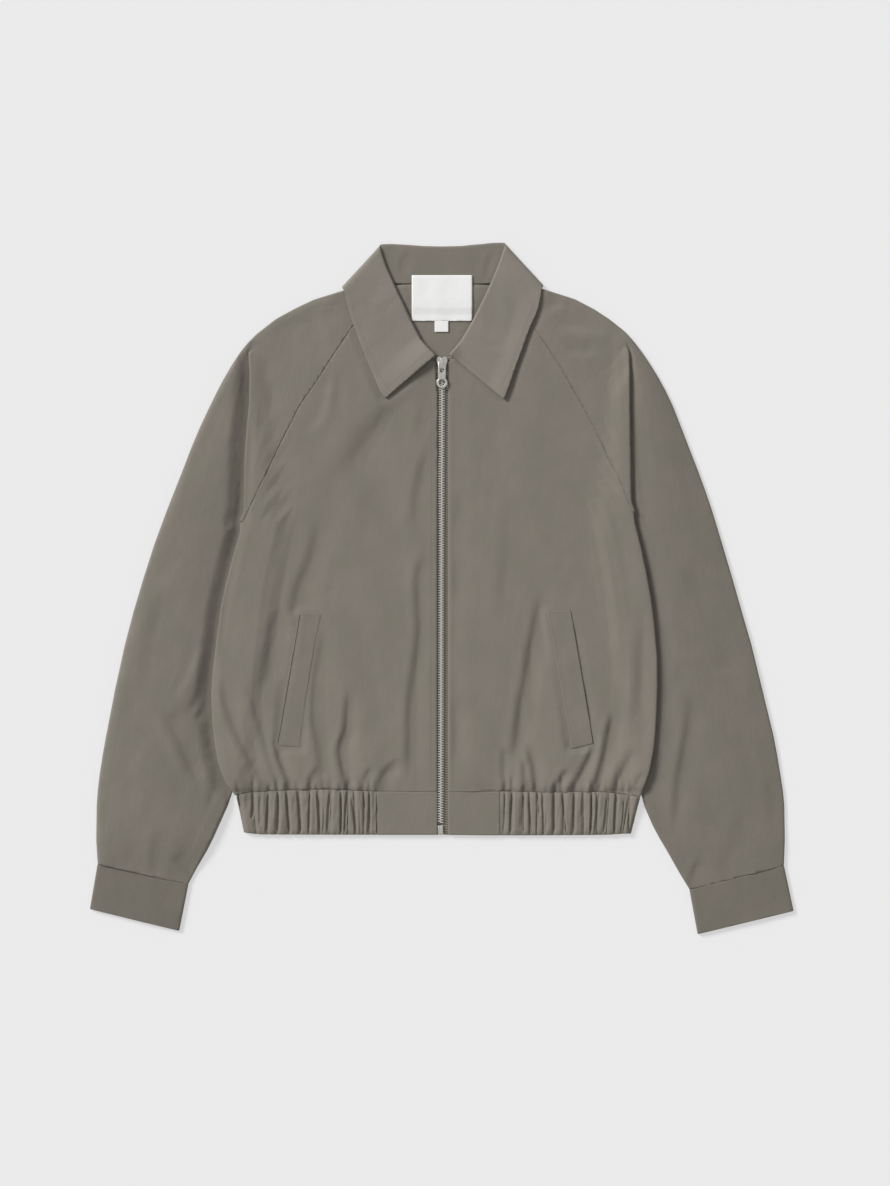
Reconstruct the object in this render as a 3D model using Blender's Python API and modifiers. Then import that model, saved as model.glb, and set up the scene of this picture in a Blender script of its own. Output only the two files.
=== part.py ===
"""A bomber jacket with raglan sleeves and a shirt collar, zipped up and laid flat on its back.

Metres, +Z up. The jacket lies on z = 0 with its front up and its collar towards +Y, and the
wearer's left is at +X. The tables are in millimetres. A column named out counts from the middle
line towards the side that the table belongs to, so that both sides share the same functions.
"""

import math
from collections import namedtuple

import bmesh
import bpy
import numpy as np
from mathutils import Vector
from mathutils.bvhtree import BVHTree

MM = 0.001

# Walls and layers, in millimetres. Heights are those of a wall's middle.
CLOTH = 1.2            # shell cloth, with its seam turnings
COLLAR = 1.4           # collar, two layers and interfacing
BAND = 1.6             # hem band and cuffs, doubled cloth
TAPE = 1.0             # zip tape and labels
FLOOR_Z = CLOTH / 2    # a wall that rests on the floor
LAYER = 2.4            # from one layer to the next
FOLD_R = LAYER / 2     # radius of a soft fold
TUCK_R = 1.0           # radius of the hidden fold of the shoulder pleat
ARM_Z = 2.3            # upper layer of the arm where the body lies on it
ARM_LIFT = 3.7         # how far the arm under it raises the body
ARM_RISE = 18.0        # width of the slope up to that height
COLLAR_LIFT = 2.1      # how far the collar behind the neck raises the cloth on it
LOFT = 1.2             # how far the body swells between its edges
ARM_LOFT = 2.0         # and the arm
SEAM = 0.2             # half the gap at a seam
BACK_TURN = 7.0        # how far the front reaches round the side, under the edge
ARM_TURN = 6.0         # how far the sleeve reaches round its inner edge

# The middle of the whole outline in the tables' own measure, which becomes x = 0 and y = 0.
MIDDLE_X = 0.25
MIDDLE_Y = 0.35

TAPE_Z = 2.4
CHAIN_LOW = 3.2
CHAIN_HIGH = 5.0
CHAIN_WIDTH = 5.9
TAPE_WIDTH = 12.5
CHAIN_GAP = 0.4        # half the gap between the two tapes
ZIP_TOP = 243.0
ZIP_END = -257.5

SLIDER_X = 0.5
SLIDER_TOP = 243.5
SLIDER_LOW = 230.5
SLIDER_HIGH = 6.2
HINGE_Y = 237.0
HINGE_Z = 7.2
PULL_END = 210.0
PULL_THICK = 1.2

Crease = namedtuple("Crease", "x_top y_top x_low y_low width depth")
SleeveRow = namedtuple("SleeveRow", "inner_y outer_y back_y")
CollarRow = namedtuple("CollarRow", "neck_out neck_y roll_out roll_y edge_out edge_y turn")
CuffEnd = namedtuple("CuffEnd", "outer_out outer_y inner_out inner_y")

# The troughs that show on the fronts, from their upper end to their lower end.
CREASES = (
    Crease(-54, 186, -88, 132, 9, 1.0),
    Crease(-10, 198, -30, 140, 6, 0.7),
    Crease(-15, 146, -30, 80, 6, 0.7),
    Crease(-24, -6, -30, -204, 7, 0.9),
    Crease(-175, -33, -190, -110, 7, 0.8),
    Crease(-127, -54, -122, -204, 7, 0.9),
    Crease(-95, -123, -100, -212, 5, 1.1),
    Crease(-172, -160, -160, -212, 5, 1.1),
    Crease(-199, -172, -199, -212, 5, 0.8),
    Crease(-184, -188, -178, -212, 4, 0.9),
    Crease(-130, -188, -136, -212, 4, 0.8),
    Crease(-79, -188, -82, -212, 4, 0.7),
    Crease(-47, -182, -62, -212, 5, 0.8),
    Crease(107, -6, 77, -184, 7, 1.2),
    Crease(97, -178, 97, -212, 4, 0.9),
    Crease(155, -168, 138, -212, 5, 1.2),
    Crease(174, -168, 162, -212, 5, 1.1),
    Crease(194, -180, 183, -212, 5, 0.8),
    Crease(131, -192, 118, -212, 4, 0.8),
    Crease(64, -168, 67, -212, 5, 0.8),
    Crease(178, -110, 176, -150, 6, 0.6),
)

# Where the gathered stretches of the hem band dip, at its upper and its lower edge.
Gather = namedtuple("Gather", "out_top out_low")
GATHERS_RIGHT = tuple(
    Gather(*row)
    for row in (
        (68.5, 68.5), (76, 75), (80.5, 81), (92, 90), (98, 98), (105.5, 105), (115, 117),
        (129.5, 127), (138, 139), (149.5, 148), (162, 160), (171.5, 173), (182, 182),
        (198, 194), (212, 206),
    )
)
GATHERS_LEFT = tuple(
    Gather(*row)
    for row in (
        (61.5, 61.5), (74, 72), (85.5, 84), (92, 93), (100.5, 100), (105.5, 107), (118, 117),
        (127.5, 128), (139, 137), (149.5, 149), (158, 156), (162, 163), (176, 173), (183, 182),
        (197, 190), (207, 197),
    )
)
GATHER_RISE = 1.5


def spot_of(x, y, z):
    """A point of the tables, in metres and about the jacket's own middle."""
    return Vector((x - MIDDLE_X, y - MIDDLE_Y, z)) * MM


def ramp(value, low, high):
    """0 at low, 1 at high and a smooth rise between them. low may be the larger one."""
    part = min(1.0, max(0.0, (value - low) / (high - low)))
    return part * part * (3.0 - 2.0 * part)


def mix(first, second, part):
    return first + (second - first) * part


class Curve:
    """A value along a key, smooth through the rows of a short table and never past them."""

    def __init__(self, rows):
        rows = sorted(rows)
        self.key = np.array([row[0] for row in rows], float)
        self.value = np.array([row[1] for row in rows], float)
        step = np.diff(self.key)
        slope = np.diff(self.value) / step
        self.slope = np.zeros(len(rows))
        self.slope[0], self.slope[-1] = slope[0], slope[-1]
        for i in range(1, len(rows) - 1):
            if slope[i - 1] * slope[i] > 0:
                before = 2 * step[i] + step[i - 1]
                after = step[i] + 2 * step[i - 1]
                self.slope[i] = (before + after) / (before / slope[i - 1] + after / slope[i])

    def __call__(self, key):
        key = min(max(key, self.key[0]), self.key[-1])
        i = min(int(np.searchsorted(self.key, key, side="right")) - 1, len(self.key) - 2)
        width = self.key[i + 1] - self.key[i]
        t = (key - self.key[i]) / width
        rise = self.value[i + 1] - self.value[i]
        start = self.slope[i] * width
        end = self.slope[i + 1] * width
        bend = 3 * rise - 2 * start - end
        twist = start + end - 2 * rise
        return float(self.value[i] + t * (start + t * (bend + t * twist)))


def straight(first, last):
    """y along out on the straight line between two points (out, y)."""
    return lambda out: mix(first[1], last[1], (out - first[0]) / (last[0] - first[0]))


def across(rows):
    """The curve of out along y, from rows of (out, y)."""
    return Curve([(y, out) for out, y in rows])


class Chain:
    """The straight stretches between points (out, y), as out along y."""

    def __init__(self, points):
        points = sorted((y, out) for out, y in points)
        self.y = [y for y, _ in points]
        self.out = [out for _, out in points]

    def __call__(self, y):
        return float(np.interp(y, self.y, self.out))


# The rows of a front: where each one starts at the zip, and the row of the sleeve that it meets.
FrontRow = namedtuple("FrontRow", "zip_y station")
SEAM_ROWS = tuple(
    FrontRow(*row)
    for row in (
        (238, 0), (219, 2), (207, 3), (188, 4), (167, 5), (146, 6), (126, 7), (105, 8), (87, 9),
        (73, 10), (62, 11),
    )
)
# Below the seam a row ends at the side edge, so far below the seam's end.
SideRow = namedtuple("SideRow", "zip_y below")
SIDE_ROWS = tuple(
    SideRow(*row)
    for row in (
        (56, 4), (46, 18), (28, 38), (4, 65), (-24, 92), (-52, 120), (-82, 152), (-112, 183),
        (-140, 211), (-162, 233), (-178, 250), (-190, 262), (-200, 273), (-213, 286.5),
    )
)


def front_row_y(side, row):
    """y at the outer end of a row of the front."""
    if row < len(SEAM_ROWS):
        return side.sleeve_rows[SEAM_ROWS[row].station].inner_y
    last = row == len(SEAM_ROWS) + len(SIDE_ROWS) - 1
    bottom = side.hem_corner_y + 0.3
    return bottom if last else max(bottom + 4, side.seam_end - SIDE_ROWS[row - len(SEAM_ROWS)].below)


class Side:
    """The outlines and tables of one side of the jacket, as the flat garment shows them."""

    def __init__(self, name, sign, zip_out, underarm, shoulder, arm, seam, fold, body, inner,
                 back_seam, neck, sleeve_rows, cuff, gathers, hem_top, hem_low, hem_end):
        self.name = name
        self.sign = sign
        self.hem_corner_y = hem_top[-1][1]
        self.sleeve_rows = [SleeveRow(*row) for row in sleeve_rows]
        self.zip_out = Curve(zip_out)
        self.underarm_y = underarm
        self.seam_top = seam[0][1]
        self.seam_end = seam[-1][1]
        self.outline = across(shoulder + arm)
        self.cover = across(shoulder + fold + body)
        self.front_edge = across(seam + body)
        edge_ys = [front_row_y(self, row) for row in range(len(SEAM_ROWS) + len(SIDE_ROWS))]
        self.seam_line = Chain((self.front_edge(y), y) for y in edge_ys)
        self.inner_edge = across(inner)
        end = self.sleeve_rows[-1]
        self.cuff_top = CuffEnd(
            self.outline(end.outer_y), end.outer_y - 2 * SEAM,
            self.inner_edge(end.inner_y), end.inner_y - 2 * SEAM,
        )
        self.roll_line = Chain(
            (self.front_edge(y) - SEAM - BACK_TURN, y) for y in edge_ys[len(SEAM_ROWS):]
        )
        self.back_seam = across(back_seam)
        self.neck = Curve(neck)
        self.cuff_low = CuffEnd(*cuff)
        self.gathers = gathers
        self.hem_top = Curve(hem_top)
        self.hem_low = Curve(hem_low)
        self.hem_back = straight((0, -214.0), hem_end[0])
        self.hem_end = across(hem_end)


RIGHT = Side(
    "right", -1, zip_out=[(-260, 4.5), (200, 4.5), (226, 6.6), (240, 6.6)], underarm=64.0,
    shoulder=[(65, 332.5), (86, 317), (103, 312), (134, 302.5), (154, 293), (174, 282),
              (191, 269), (204, 256)],
    arm=[(224, 226.5), (241, 194), (257, 159.5), (271.5, 122.5), (285.5, 87), (300, 48),
         (311.5, 12.5), (322.5, -24.5), (331.5, -59), (341.5, -104.5), (351, -153.5),
         (358, -195.5), (361, -227), (361.5, -264), (360, -288.5)],
    seam=[(57, 313.5), (70, 301), (83.5, 286.5), (94, 273.5), (113, 245.5), (130.5, 218),
          (148.5, 192), (162, 165.5), (176, 137), (187.5, 113), (198, 91), (208, 70)],
    fold=[(201, 244.5), (200.5, 224.5), (201, 202.5), (205.5, 141.5), (208, 71)],
    body=[(210.5, 59.5), (219, 30), (230.5, -19), (235.5, -56), (241, -113.5), (235.5, -173.5),
          (226.5, -201), (216, -215.5)],
    inner=[(203, 256), (196.5, 199), (192, 151.5), (189, 114), (184, 85), (179, 64),
           (184.5, 14.5), (191.5, -33), (199, -75), (206.5, -117), (212.5, -164), (218, -207),
           (233.5, -247), (246, -273.5), (258, -294), (266.5, -310)],
    back_seam=[(52.5, 318), (119, 190), (178, 65)],
    neck=[(4.5, 238), (6.5, 238.5), (16.5, 248.5), (29, 264), (41.5, 285), (50, 301), (57, 313.5)],
    sleeve_rows=[(313.5, 332.5, 317.5), (301, 317, 301), (286.5, 312, 283), (273.5, 302.5, 266.5),
                 (245.5, 293, 235), (218, 282, 203.5), (192, 256, 174), (165.5, 226.5, 149),
                 (137, 194, 123.5), (113, 159.5, 102.5), (91, 122.5, 83.5), (70, 87, 65),
                 (14.5, 48, 0), (-33, 12.5, 0), (-75, -24.5, 0), (-117, -59, 0),
                 (-164, -104.5, 0), (-207, -153.5, 0), (-247, -195.5, 0), (-273.5, -227, 0),
                 (-294, -264, 0), (-310, -288.5, 0)],
    cuff=(368, -336, 276, -358.5),
    gathers=GATHERS_RIGHT,
    hem_top=[(3.5, -213), (68, -212.5), (124.5, -210.5), (163.5, -211.5), (198, -213.5),
             (216, -216.5)],
    hem_low=[(3.5, -258), (188.5, -257.5), (206.5, -255.5)],
    hem_end=[(214.5, -217), (211.5, -240), (206.5, -255.5)],
)
LEFT = Side(
    "left", 1, zip_out=[(-260, 7), (240, 7.3)], underarm=78.0,
    shoulder=[(66, 333.5), (88, 319), (105, 314), (140, 303), (160, 292.5), (176, 282),
              (189, 272), (199, 261.5)],
    arm=[(222.5, 228.5), (240.5, 195), (254, 160.5), (268.5, 123.5), (281.5, 87), (293.5, 48),
         (304, 12.5), (314.5, -24.5), (324.5, -59), (335.5, -104.5), (347.5, -153.5),
         (355, -195.5), (359, -227), (359.5, -264), (358.5, -290.5)],
    seam=[(57, 314), (71, 301.5), (84.5, 287.5), (97, 273.5), (113, 250.5), (125.5, 231.5),
          (150.5, 187.5), (163.5, 162.5), (175, 137), (185, 117.5), (192, 100.5), (199.5, 80.5)],
    fold=[(196, 248.5), (197, 224.5), (197, 202.5), (198, 132), (199.5, 81)],
    body=[(201, 73), (205, 57.5), (211.5, 30), (222, -32), (226, -87.5), (223.5, -152.5),
          (216, -196.5), (208, -215.5)],
    inner=[(197, 261), (192, 205), (188, 152), (185.5, 116), (181.5, 96), (178, 78),
           (184.5, 14.5), (190.5, -33), (197, -75), (202, -117), (206, -164), (208.5, -209),
           (222, -248), (237, -274.5), (250.5, -298.5), (261, -315.5)],
    back_seam=[(52.5, 318), (118, 197), (177, 79)],
    neck=[(7, 238), (9, 239), (18.5, 251), (30, 265), (41.5, 285.5), (50, 301.5), (57, 314)],
    sleeve_rows=[(314, 333.5, 317.5), (301.5, 319, 301), (287.5, 314, 283), (273.5, 303, 267),
                 (250.5, 292.5, 238), (231.5, 282, 209), (187.5, 261.5, 181),
                 (162.5, 228.5, 157), (137, 195, 133), (117.5, 160.5, 113), (100.5, 123.5, 95),
                 (80.5, 87, 79), (14.5, 48, 0), (-33, 12.5, 0), (-75, -24.5, 0),
                 (-117, -59, 0), (-164, -104.5, 0), (-209, -153.5, 0), (-248, -195.5, 0),
                 (-274.5, -227, 0), (-298.5, -264, 0), (-315.5, -290.5, 0)],
    cuff=(368.5, -338, 269.5, -362),
    gathers=GATHERS_LEFT,
    hem_top=[(7, -213), (61.5, -212.5), (117, -213.5), (162, -213), (207, -218)],
    hem_low=[(7, -258), (61.5, -258.5), (166.5, -258), (195, -256.5)],
    hem_end=[(207.5, -218.5), (202.5, -240), (195, -256.5)],
)
FRONT_COLUMNS = (0, 0.04, 0.09, 0.14, 0.2, 0.27, 0.31, 0.35, 0.4, 0.45, 0.5, 0.56, 0.61,
                 0.67, 0.735, 0.78, 0.825, 0.87, 0.92, 0.965, 1.0)
BACK_ROWS = (319.5, 306, 296, 284, 262, 230, 190, 150, 112, 84, 72)
BACK_SHARES = (0, 0.06, 0.105, 0.15, 0.24, 0.36, 0.51, 0.67, 0.82, 0.93, 1.0)
BACK_ROWS_LOW = (40, 15, -18, -50, -85, -120, -155, -180, -195, -205, -213)
BACK_COLUMNS = (0, 0.3, 0.55, 0.7, 0.78, 0.84, 0.9, 1.0)
NECK_SEAM_Y = 319.8
BACK_FALL_Y = 300.0


def nearest_on(crease, x, y):
    """(distance to the crease's line, place along it from 0 to 1)."""
    run_x = crease.x_low - crease.x_top
    run_y = crease.y_low - crease.y_top
    length = run_x * run_x + run_y * run_y
    place = ((x - crease.x_top) * run_x + (y - crease.y_top) * run_y) / length
    place = min(1.0, max(0.0, place))
    return math.hypot(x - crease.x_top - place * run_x, y - crease.y_top - place * run_y), place


def crease_depth(x, y):
    """How deep the creases are at a place. x is signed."""
    depth = 0.0
    for crease in CREASES:
        away, place = nearest_on(crease, x, y)
        open_end = crease.y_low < -200
        fade = ramp(place, 0, 0.45) * (1.0 if open_end else ramp(place, 1, 0.6))
        depth += crease.depth * fade * math.exp(-((away / crease.width) ** 2))
    return min(depth, 1.5)


def arm_under(side, out, y):
    """1 where the arm lies under this place, falling to 0 further in."""
    return ramp(side.inner_edge(y) - out, 2 + ARM_RISE, 2)


def arm_lift(side, out, y):
    """How far the arm raises the body, which comes down again where the arm leaves it."""
    return ARM_LIFT * arm_under(side, out, y) * ramp(y, -244, -217)


def collar_under(out, y):
    """1 where the collar lies behind the neck, falling to 0 below and beside it."""
    lower = BACK_FALL_Y + 12 * (out / 103) ** 2
    return ramp(y, lower - 16, lower - 2) * ramp(out, 124, 107)


def body_low(side, out, y, below=None):
    """Height of the back layer of the body.

    below: 1 below the underarm, where that layer lies on the arm, and 0 above it.
    """
    if below is None:
        below = ramp(y, side.underarm_y + 5, side.underarm_y - 3)
    return FLOOR_Z + max(arm_lift(side, out, y) * below, COLLAR_LIFT * collar_under(out, y))


def body_top(side, out, y, pleat=None):
    """Height of the front layer of the body, and of the sleeve's cap beside it.

    pleat: how far the shoulder's pleat has opened there, from 0 to 1.
    """
    if pleat is None:
        pleat = ramp(y, 235, 195)
    arm = arm_lift(side, out, y) * pleat
    behind = collar_under(out, y)
    swell = LOFT * ramp(side.cover(y) - out, 0, 42) * (1.0 - behind)
    height = FLOOR_Z + LAYER + max(arm, COLLAR_LIFT * behind) + swell
    return height - crease_depth(side.sign * out, y) * ramp(side.cover(y) - out, 0, 20)


def material(name, colour, roughness, metallic=0.0):
    made = bpy.data.materials.new(name)
    made.use_nodes = True
    shader = made.node_tree.nodes["Principled BSDF"]
    shader.inputs["Base Color"].default_value = (*colour, 1.0)
    shader.inputs["Roughness"].default_value = roughness
    shader.inputs["Metallic"].default_value = metallic
    return made


def new_object(name, bm, look):
    """The mesh as an object of the jacket, with its own material."""
    bmesh.ops.recalc_face_normals(bm, faces=bm.faces)
    mesh = bpy.data.meshes.new(name)
    bm.to_mesh(mesh)
    bm.free()
    mesh.materials.append(material(name, *look))
    made = bpy.data.objects.new(name, mesh)
    JACKET.objects.link(made)
    return made


def grid(columns, rows, place, keep=None, loop=False):
    """A grid whose points place(column, row) sets, in millimetres.

    keep(column, row) drops cells for which it is false. loop joins the last column to the first.
    """
    bm = bmesh.new()
    across_cells = columns if loop else columns - 1
    bmesh.ops.create_grid(bm, x_segments=across_cells, y_segments=rows - 1, size=0.5)
    cells = []
    spots = {}
    for vert in bm.verts:
        column = round((vert.co.x + 0.5) * across_cells)
        row = round((vert.co.y + 0.5) * (rows - 1))
        spots[vert] = (column, row)
    for face in bm.faces:
        column = min(spots[vert][0] for vert in face.verts)
        row = min(spots[vert][1] for vert in face.verts)
        if keep and not keep(column, row):
            cells.append(face)
    for vert, (column, row) in spots.items():
        vert.co = spot_of(*place(column % columns, row))
    bmesh.ops.delete(bm, geom=cells, context="FACES")
    if loop:
        bmesh.ops.remove_doubles(bm, verts=bm.verts, dist=1e-6)
    return bm


def sheet(name, bm, wall, look):
    """The surface as an object with a wall, half to each side of it."""
    made = new_object(name, bm, look)
    solid = made.modifiers.new("wall", "SOLIDIFY")
    solid.thickness = wall * MM
    solid.offset = 0.0
    solid.use_even_offset = True
    solid.use_quality_normals = True
    return made


def surface_above(made):
    """A function that gives the height of the object's upper face at x and y, in millimetres."""
    bpy.context.view_layer.update()
    graph = bpy.context.evaluated_depsgraph_get()
    tree = BVHTree.FromObject(made, graph)

    def height(x, y):
        hit = tree.ray_cast(spot_of(x, y, 50), Vector((0, 0, -1)))[0]
        return hit.z / MM

    return height


# --- fronts and back ---------------------------------------------------------------------------

def front_point(side, u, row):
    """(out, y) of the front at a share u of its width, on one of its rows."""
    rows = SEAM_ROWS + SIDE_ROWS
    zip_y = rows[row].zip_y
    outer_y = front_row_y(side, row)
    out = mix(side.zip_out(zip_y), side.front_edge(outer_y) - SEAM, u)
    y = mix(zip_y, outer_y, u)
    top = mix(rows[0].zip_y, side.seam_top, u)
    neck = side.neck(mix(side.zip_out(rows[0].zip_y), 57 - SEAM, u)) - 2 * SEAM
    corner = side.neck(57 - SEAM) - 2 * SEAM - side.seam_top
    bottom = mix(rows[-1].zip_y, front_row_y(side, len(rows) - 1), u)
    hem = side.hem_top(out) + SEAM
    y += (neck - top - corner * u) * ramp(row, 5, 0)
    return out, y + (hem - bottom) * ramp(row, len(rows) - 4, len(rows) - 1)


def front(side):
    """The front, from the zip to the raglan seam, and below the arm round the side."""
    wide = len(FRONT_COLUMNS)
    turns = (45, 90, 135, 180)
    first_round = len(SEAM_ROWS)

    def place(column, row):
        if column < wide:
            out, y = front_point(side, FRONT_COLUMNS[column], row)
            if row >= first_round and column == wide - 1:
                out -= FOLD_R
            return side.sign * out, y, body_top(side, out, y)
        out, y = front_point(side, 1.0, row)
        centre = out - FOLD_R
        high = body_top(side, centre, y)
        low = body_low(side, centre, y, below=1.0)
        radius = (high - low) / 2
        turn = column - wide
        if turn < len(turns):
            angle = math.radians(turns[turn])
            out = centre + FOLD_R * math.sin(angle)
            z = high - radius * (1 - math.cos(angle))
        else:
            out = side.front_edge(front_row_y(side, row)) - SEAM - BACK_TURN
            if row == first_round + len(SIDE_ROWS) - 1:
                y = side.hem_back(out) + SEAM
            z = body_low(side, out, y, below=1.0)
        return side.sign * out, y, z

    def keep(column, row):
        return column < wide - 1 or row >= first_round

    bm = grid(wide + len(turns) + 1, len(SEAM_ROWS) + len(SIDE_ROWS), place, keep)
    return sheet("front_" + side.name, bm, CLOTH, SHELL)


def back_rows():
    """(y at the middle, y at the right seam, y at the left seam, below) of each row of the back.

    below: 0 where the row ends at the raglan seam, 1 where it ends at the side, and between them
    0.5 for the row that has come up on the arm at the seam's foot.
    """
    rows = []
    for middle, share in zip(BACK_ROWS, BACK_SHARES):
        ends = [mix(318.0, side.underarm_y + 5, share) for side in (RIGHT, LEFT)]
        rows.append((middle, *ends, 0))
    rows.append((66, RIGHT.underarm_y - 3, LEFT.underarm_y - 3, 0.5))
    rows.append((60, RIGHT.underarm_y - 9, LEFT.underarm_y - 9, 1))
    rows += [(y, y, y, 1) for y in BACK_ROWS_LOW]
    return rows


def back():
    """The back, one piece from seam to seam, flat on the floor but where it lies on the arms."""
    rows = back_rows()
    half = len(BACK_COLUMNS) - 1

    def place(column, row):
        side = RIGHT if column < half else LEFT
        u = BACK_COLUMNS[abs(column - half)]
        middle, right_y, left_y, below = rows[row]
        seam_y = right_y if side is RIGHT else left_y
        y = mix(middle, seam_y, ramp(u, 0.3, 1.0))
        if below == 1:
            last = row == len(rows) - 1
            width = side.roll_line(side.hem_corner_y + 0.3 if last else y) - 2 * SEAM
        elif below == 0.5:
            width = side.back_seam(side.underarm_y) - 3.6
        else:
            width = side.back_seam(seam_y) - SEAM
        out = width * u
        step = abs(column - half)
        if below == 0.5 and 3 <= step < half:
            out = width - (17, 11, 6, 2.5)[step - 3]
        if below == 1 and 3 <= step < half:
            out = side.inner_edge(y) - (20, 13.5, 7.5, 1.5)[step - 3]
            out = min(out, width - 2.5 * (half - step))
        if row == 0:
            y = mix(NECK_SEAM_Y - 0.3, seam_y - 0.3, u * u * u)
        if row == len(rows) - 1:
            y = side.hem_back(out) + SEAM
        return side.sign * out, y, body_low(side, out, y)

    bm = grid(2 * half + 1, len(rows), place)
    return sheet("back_panel", bm, CLOTH, SHELL)


# --- sleeves -----------------------------------------------------------------------------------

TOP_POINTS = (0, 0.25, 0.5, 0.75, 1.0)
ARC_POINTS = (1 / 3, 2 / 3, 1.0)
TUCK_POINTS = (1.0,)
FRONT_POINTS = (0, 0.2, 0.43, 0.66, 0.86, 1.0)
BACK_POINTS = (0.3, 0.65, 1.0)
UNDERARM_ROW = 11
PLEAT_START = 5.9
PLEAT_SHUT = 6.8
SLEEVE_STATIONS = (0, 1, 2, 3, 4, 5, 5.6, 5.9, 6.12, 6.3, 6.45, 6.6, 6.8, 7.2, 7.6, 8.1, 8.7,
                   9.3, 10, 10.5, 11, 11.25, 12, 13, 14, 15, 16, 17, 17.5, 18, 18.5, 19, 20, 21)


def sleeve_frame(side, station):
    """(inner, outer, back) points of the sleeve's section at a station, each (out, y)."""
    rows = side.sleeve_rows
    low = min(int(station), len(rows) - 2)
    part = station - low
    row = SleeveRow(*(mix(a, b, part) for a, b in zip(rows[low], rows[low + 1])))
    outer = (side.outline(row.outer_y), row.outer_y)
    if station <= UNDERARM_ROW:
        inner = (side.seam_line(row.inner_y) + SEAM, row.inner_y)
        back_y = mix(rows[low].back_y, rows[low + 1].back_y, part)
        return inner, outer, (side.back_seam(back_y) + SEAM, back_y)
    inner = (side.inner_edge(row.inner_y), row.inner_y)
    return inner, outer, None


def crossing(curve, start, end):
    """Share of the way from end to start at which the line meets the curve of out along y."""
    steps = 200
    for i in range(steps + 1):
        part = 1 - i / steps
        out = mix(start[0], end[0], part)
        if out <= curve(mix(start[1], end[1], part)):
            return part
    return 0.0


def sleeve_section(side, station):
    """The points of one section, from the raglan seam over the pleat and the arm to the back."""
    inner, outer, back_end = sleeve_frame(side, station)
    length = math.hypot(outer[0] - inner[0], outer[1] - inner[1])
    way = ((outer[0] - inner[0]) / length, (outer[1] - inner[1]) / length)

    def spot(along, z, start=inner):
        return start[0] + way[0] * along, start[1] + way[1] * along, z

    points = []
    upper = station <= UNDERARM_ROW
    outer_low = FLOOR_Z + COLLAR_LIFT * collar_under(*outer)
    if upper:
        shut = math.pi * min(1.0, max(0.0, (station - PLEAT_START) / (PLEAT_SHUT - PLEAT_START)))
        widen = max(1.0, (math.pi / 2) / shut) if shut > 0 else 0.0
        edge = min(crossing(side.cover, inner, outer) * length, length - 9)
        edge = max(edge, FOLD_R + 1.7)
        if station < PLEAT_START:
            edge = length - 9
        radius_a = FOLD_R
        radius_b = TUCK_R
        tuck = 0.6
        if shut >= math.pi:
            reach = edge - crossing(side.inner_edge, inner, outer) * length
            if station > UNDERARM_ROW - 2:
                deep = math.hypot(*(a - b for a, b in zip(
                    spot(edge, 0)[:2], (side.inner_edge(spot(edge, 0)[1]), spot(edge, 0)[1]))))
                reach = max(reach, deep)
            tuck = max(0.6, reach - radius_a - radius_b)
        turned = radius_a + radius_b
        drop = (turned * widen * (1 - math.cos(shut)) if shut > 0 else 0) + tuck * math.sin(shut)
        arm_z = mix(body_top(side, *spot(edge, 0)[:2], pleat=0), ARM_Z, shut / math.pi)
        cap_z = arm_z + drop
        start_s = edge - radius_a
        lift_here = cap_z - body_top(side, *spot(start_s, 0)[:2], pleat=0)
        for part in TOP_POINTS:
            out, y, _ = spot(start_s * part, 0)
            height = body_top(side, out, y, pleat=0) + lift_here * arm_under(side, out, y)
            if station >= PLEAT_SHUT:
                height = body_top(side, out, y, pleat=1)
            points.append((out, y, height))
        s, z = start_s, points[-1][2]
        top_s, top_z = s, z
        for part in ARC_POINTS:
            angle = shut * part
            if shut > 0:
                s = top_s + radius_a * widen * math.sin(angle)
                z = top_z - radius_a * widen * (1 - math.cos(angle))
            else:
                s = top_s + radius_a * part * math.pi / 2
            points.append(spot(s, z))
        s += tuck * math.cos(shut)
        z -= tuck * math.sin(shut)
        points.append(spot(s, z))
        top_s, top_z = s, z
        for part in ARC_POINTS:
            angle = shut * (1 - part)
            if shut > 0:
                s = top_s + radius_b * widen * (math.sin(shut) - math.sin(angle))
                z = top_z - radius_b * widen * (math.cos(angle) - math.cos(shut))
            else:
                s = top_s + radius_b * part * math.pi / 2
            points.append(spot(s, z))
        cover_s = edge
    else:
        free = ramp(inner[1], -210, -240)
        arm_z = mix(ARM_Z, FLOOR_Z + LAYER, free)
        radius = (arm_z - FLOOR_Z) / 2
        points += [spot(0, FLOOR_Z)] * (len(TOP_POINTS) + len(ARC_POINTS) - 1)
        points.append(spot(ARM_TURN, FLOOR_Z))
        points.append(spot(radius, FLOOR_Z))
        for part in ARC_POINTS:
            angle = math.pi * part
            points.append(spot(radius - radius * math.sin(angle),
                               FLOOR_Z + radius * (1 - math.cos(angle))))
        s, z = radius, arm_z
        cover_s = s
        if inner[1] > -216:
            cover_s = max(s, crossing(side.cover, inner, outer) * length)
    turn_z = outer_low + LAYER
    end_s = length - FOLD_R
    covered = s + 0.12 * (end_s - s)
    covered = mix(covered, max(covered, cover_s + 2.0), ramp(shut, 0, math.pi) if upper else 1.0)
    swell = ARM_LOFT * (shut / math.pi if upper else 1.0)
    for part in FRONT_POINTS:
        here = mix(covered, end_s, part)
        height = mix(z, turn_z, part) + swell * math.sin(math.pi * part) ** 0.8
        points.append(spot(here, height))
    for part in ARC_POINTS:
        angle = math.pi * part
        points.append(spot(end_s + FOLD_R * math.sin(angle),
                           turn_z - FOLD_R * (1 - math.cos(angle))))
    start = spot(end_s, outer_low)
    end = back_end or spot(ARM_TURN + 2 * SEAM, FLOOR_Z)[:2]
    for part in BACK_POINTS:
        out = mix(start[0], end[0], part)
        y = mix(start[1], end[1], part)
        points.append((out, y, FLOOR_Z + COLLAR_LIFT * collar_under(out, y)))
    return points


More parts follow.
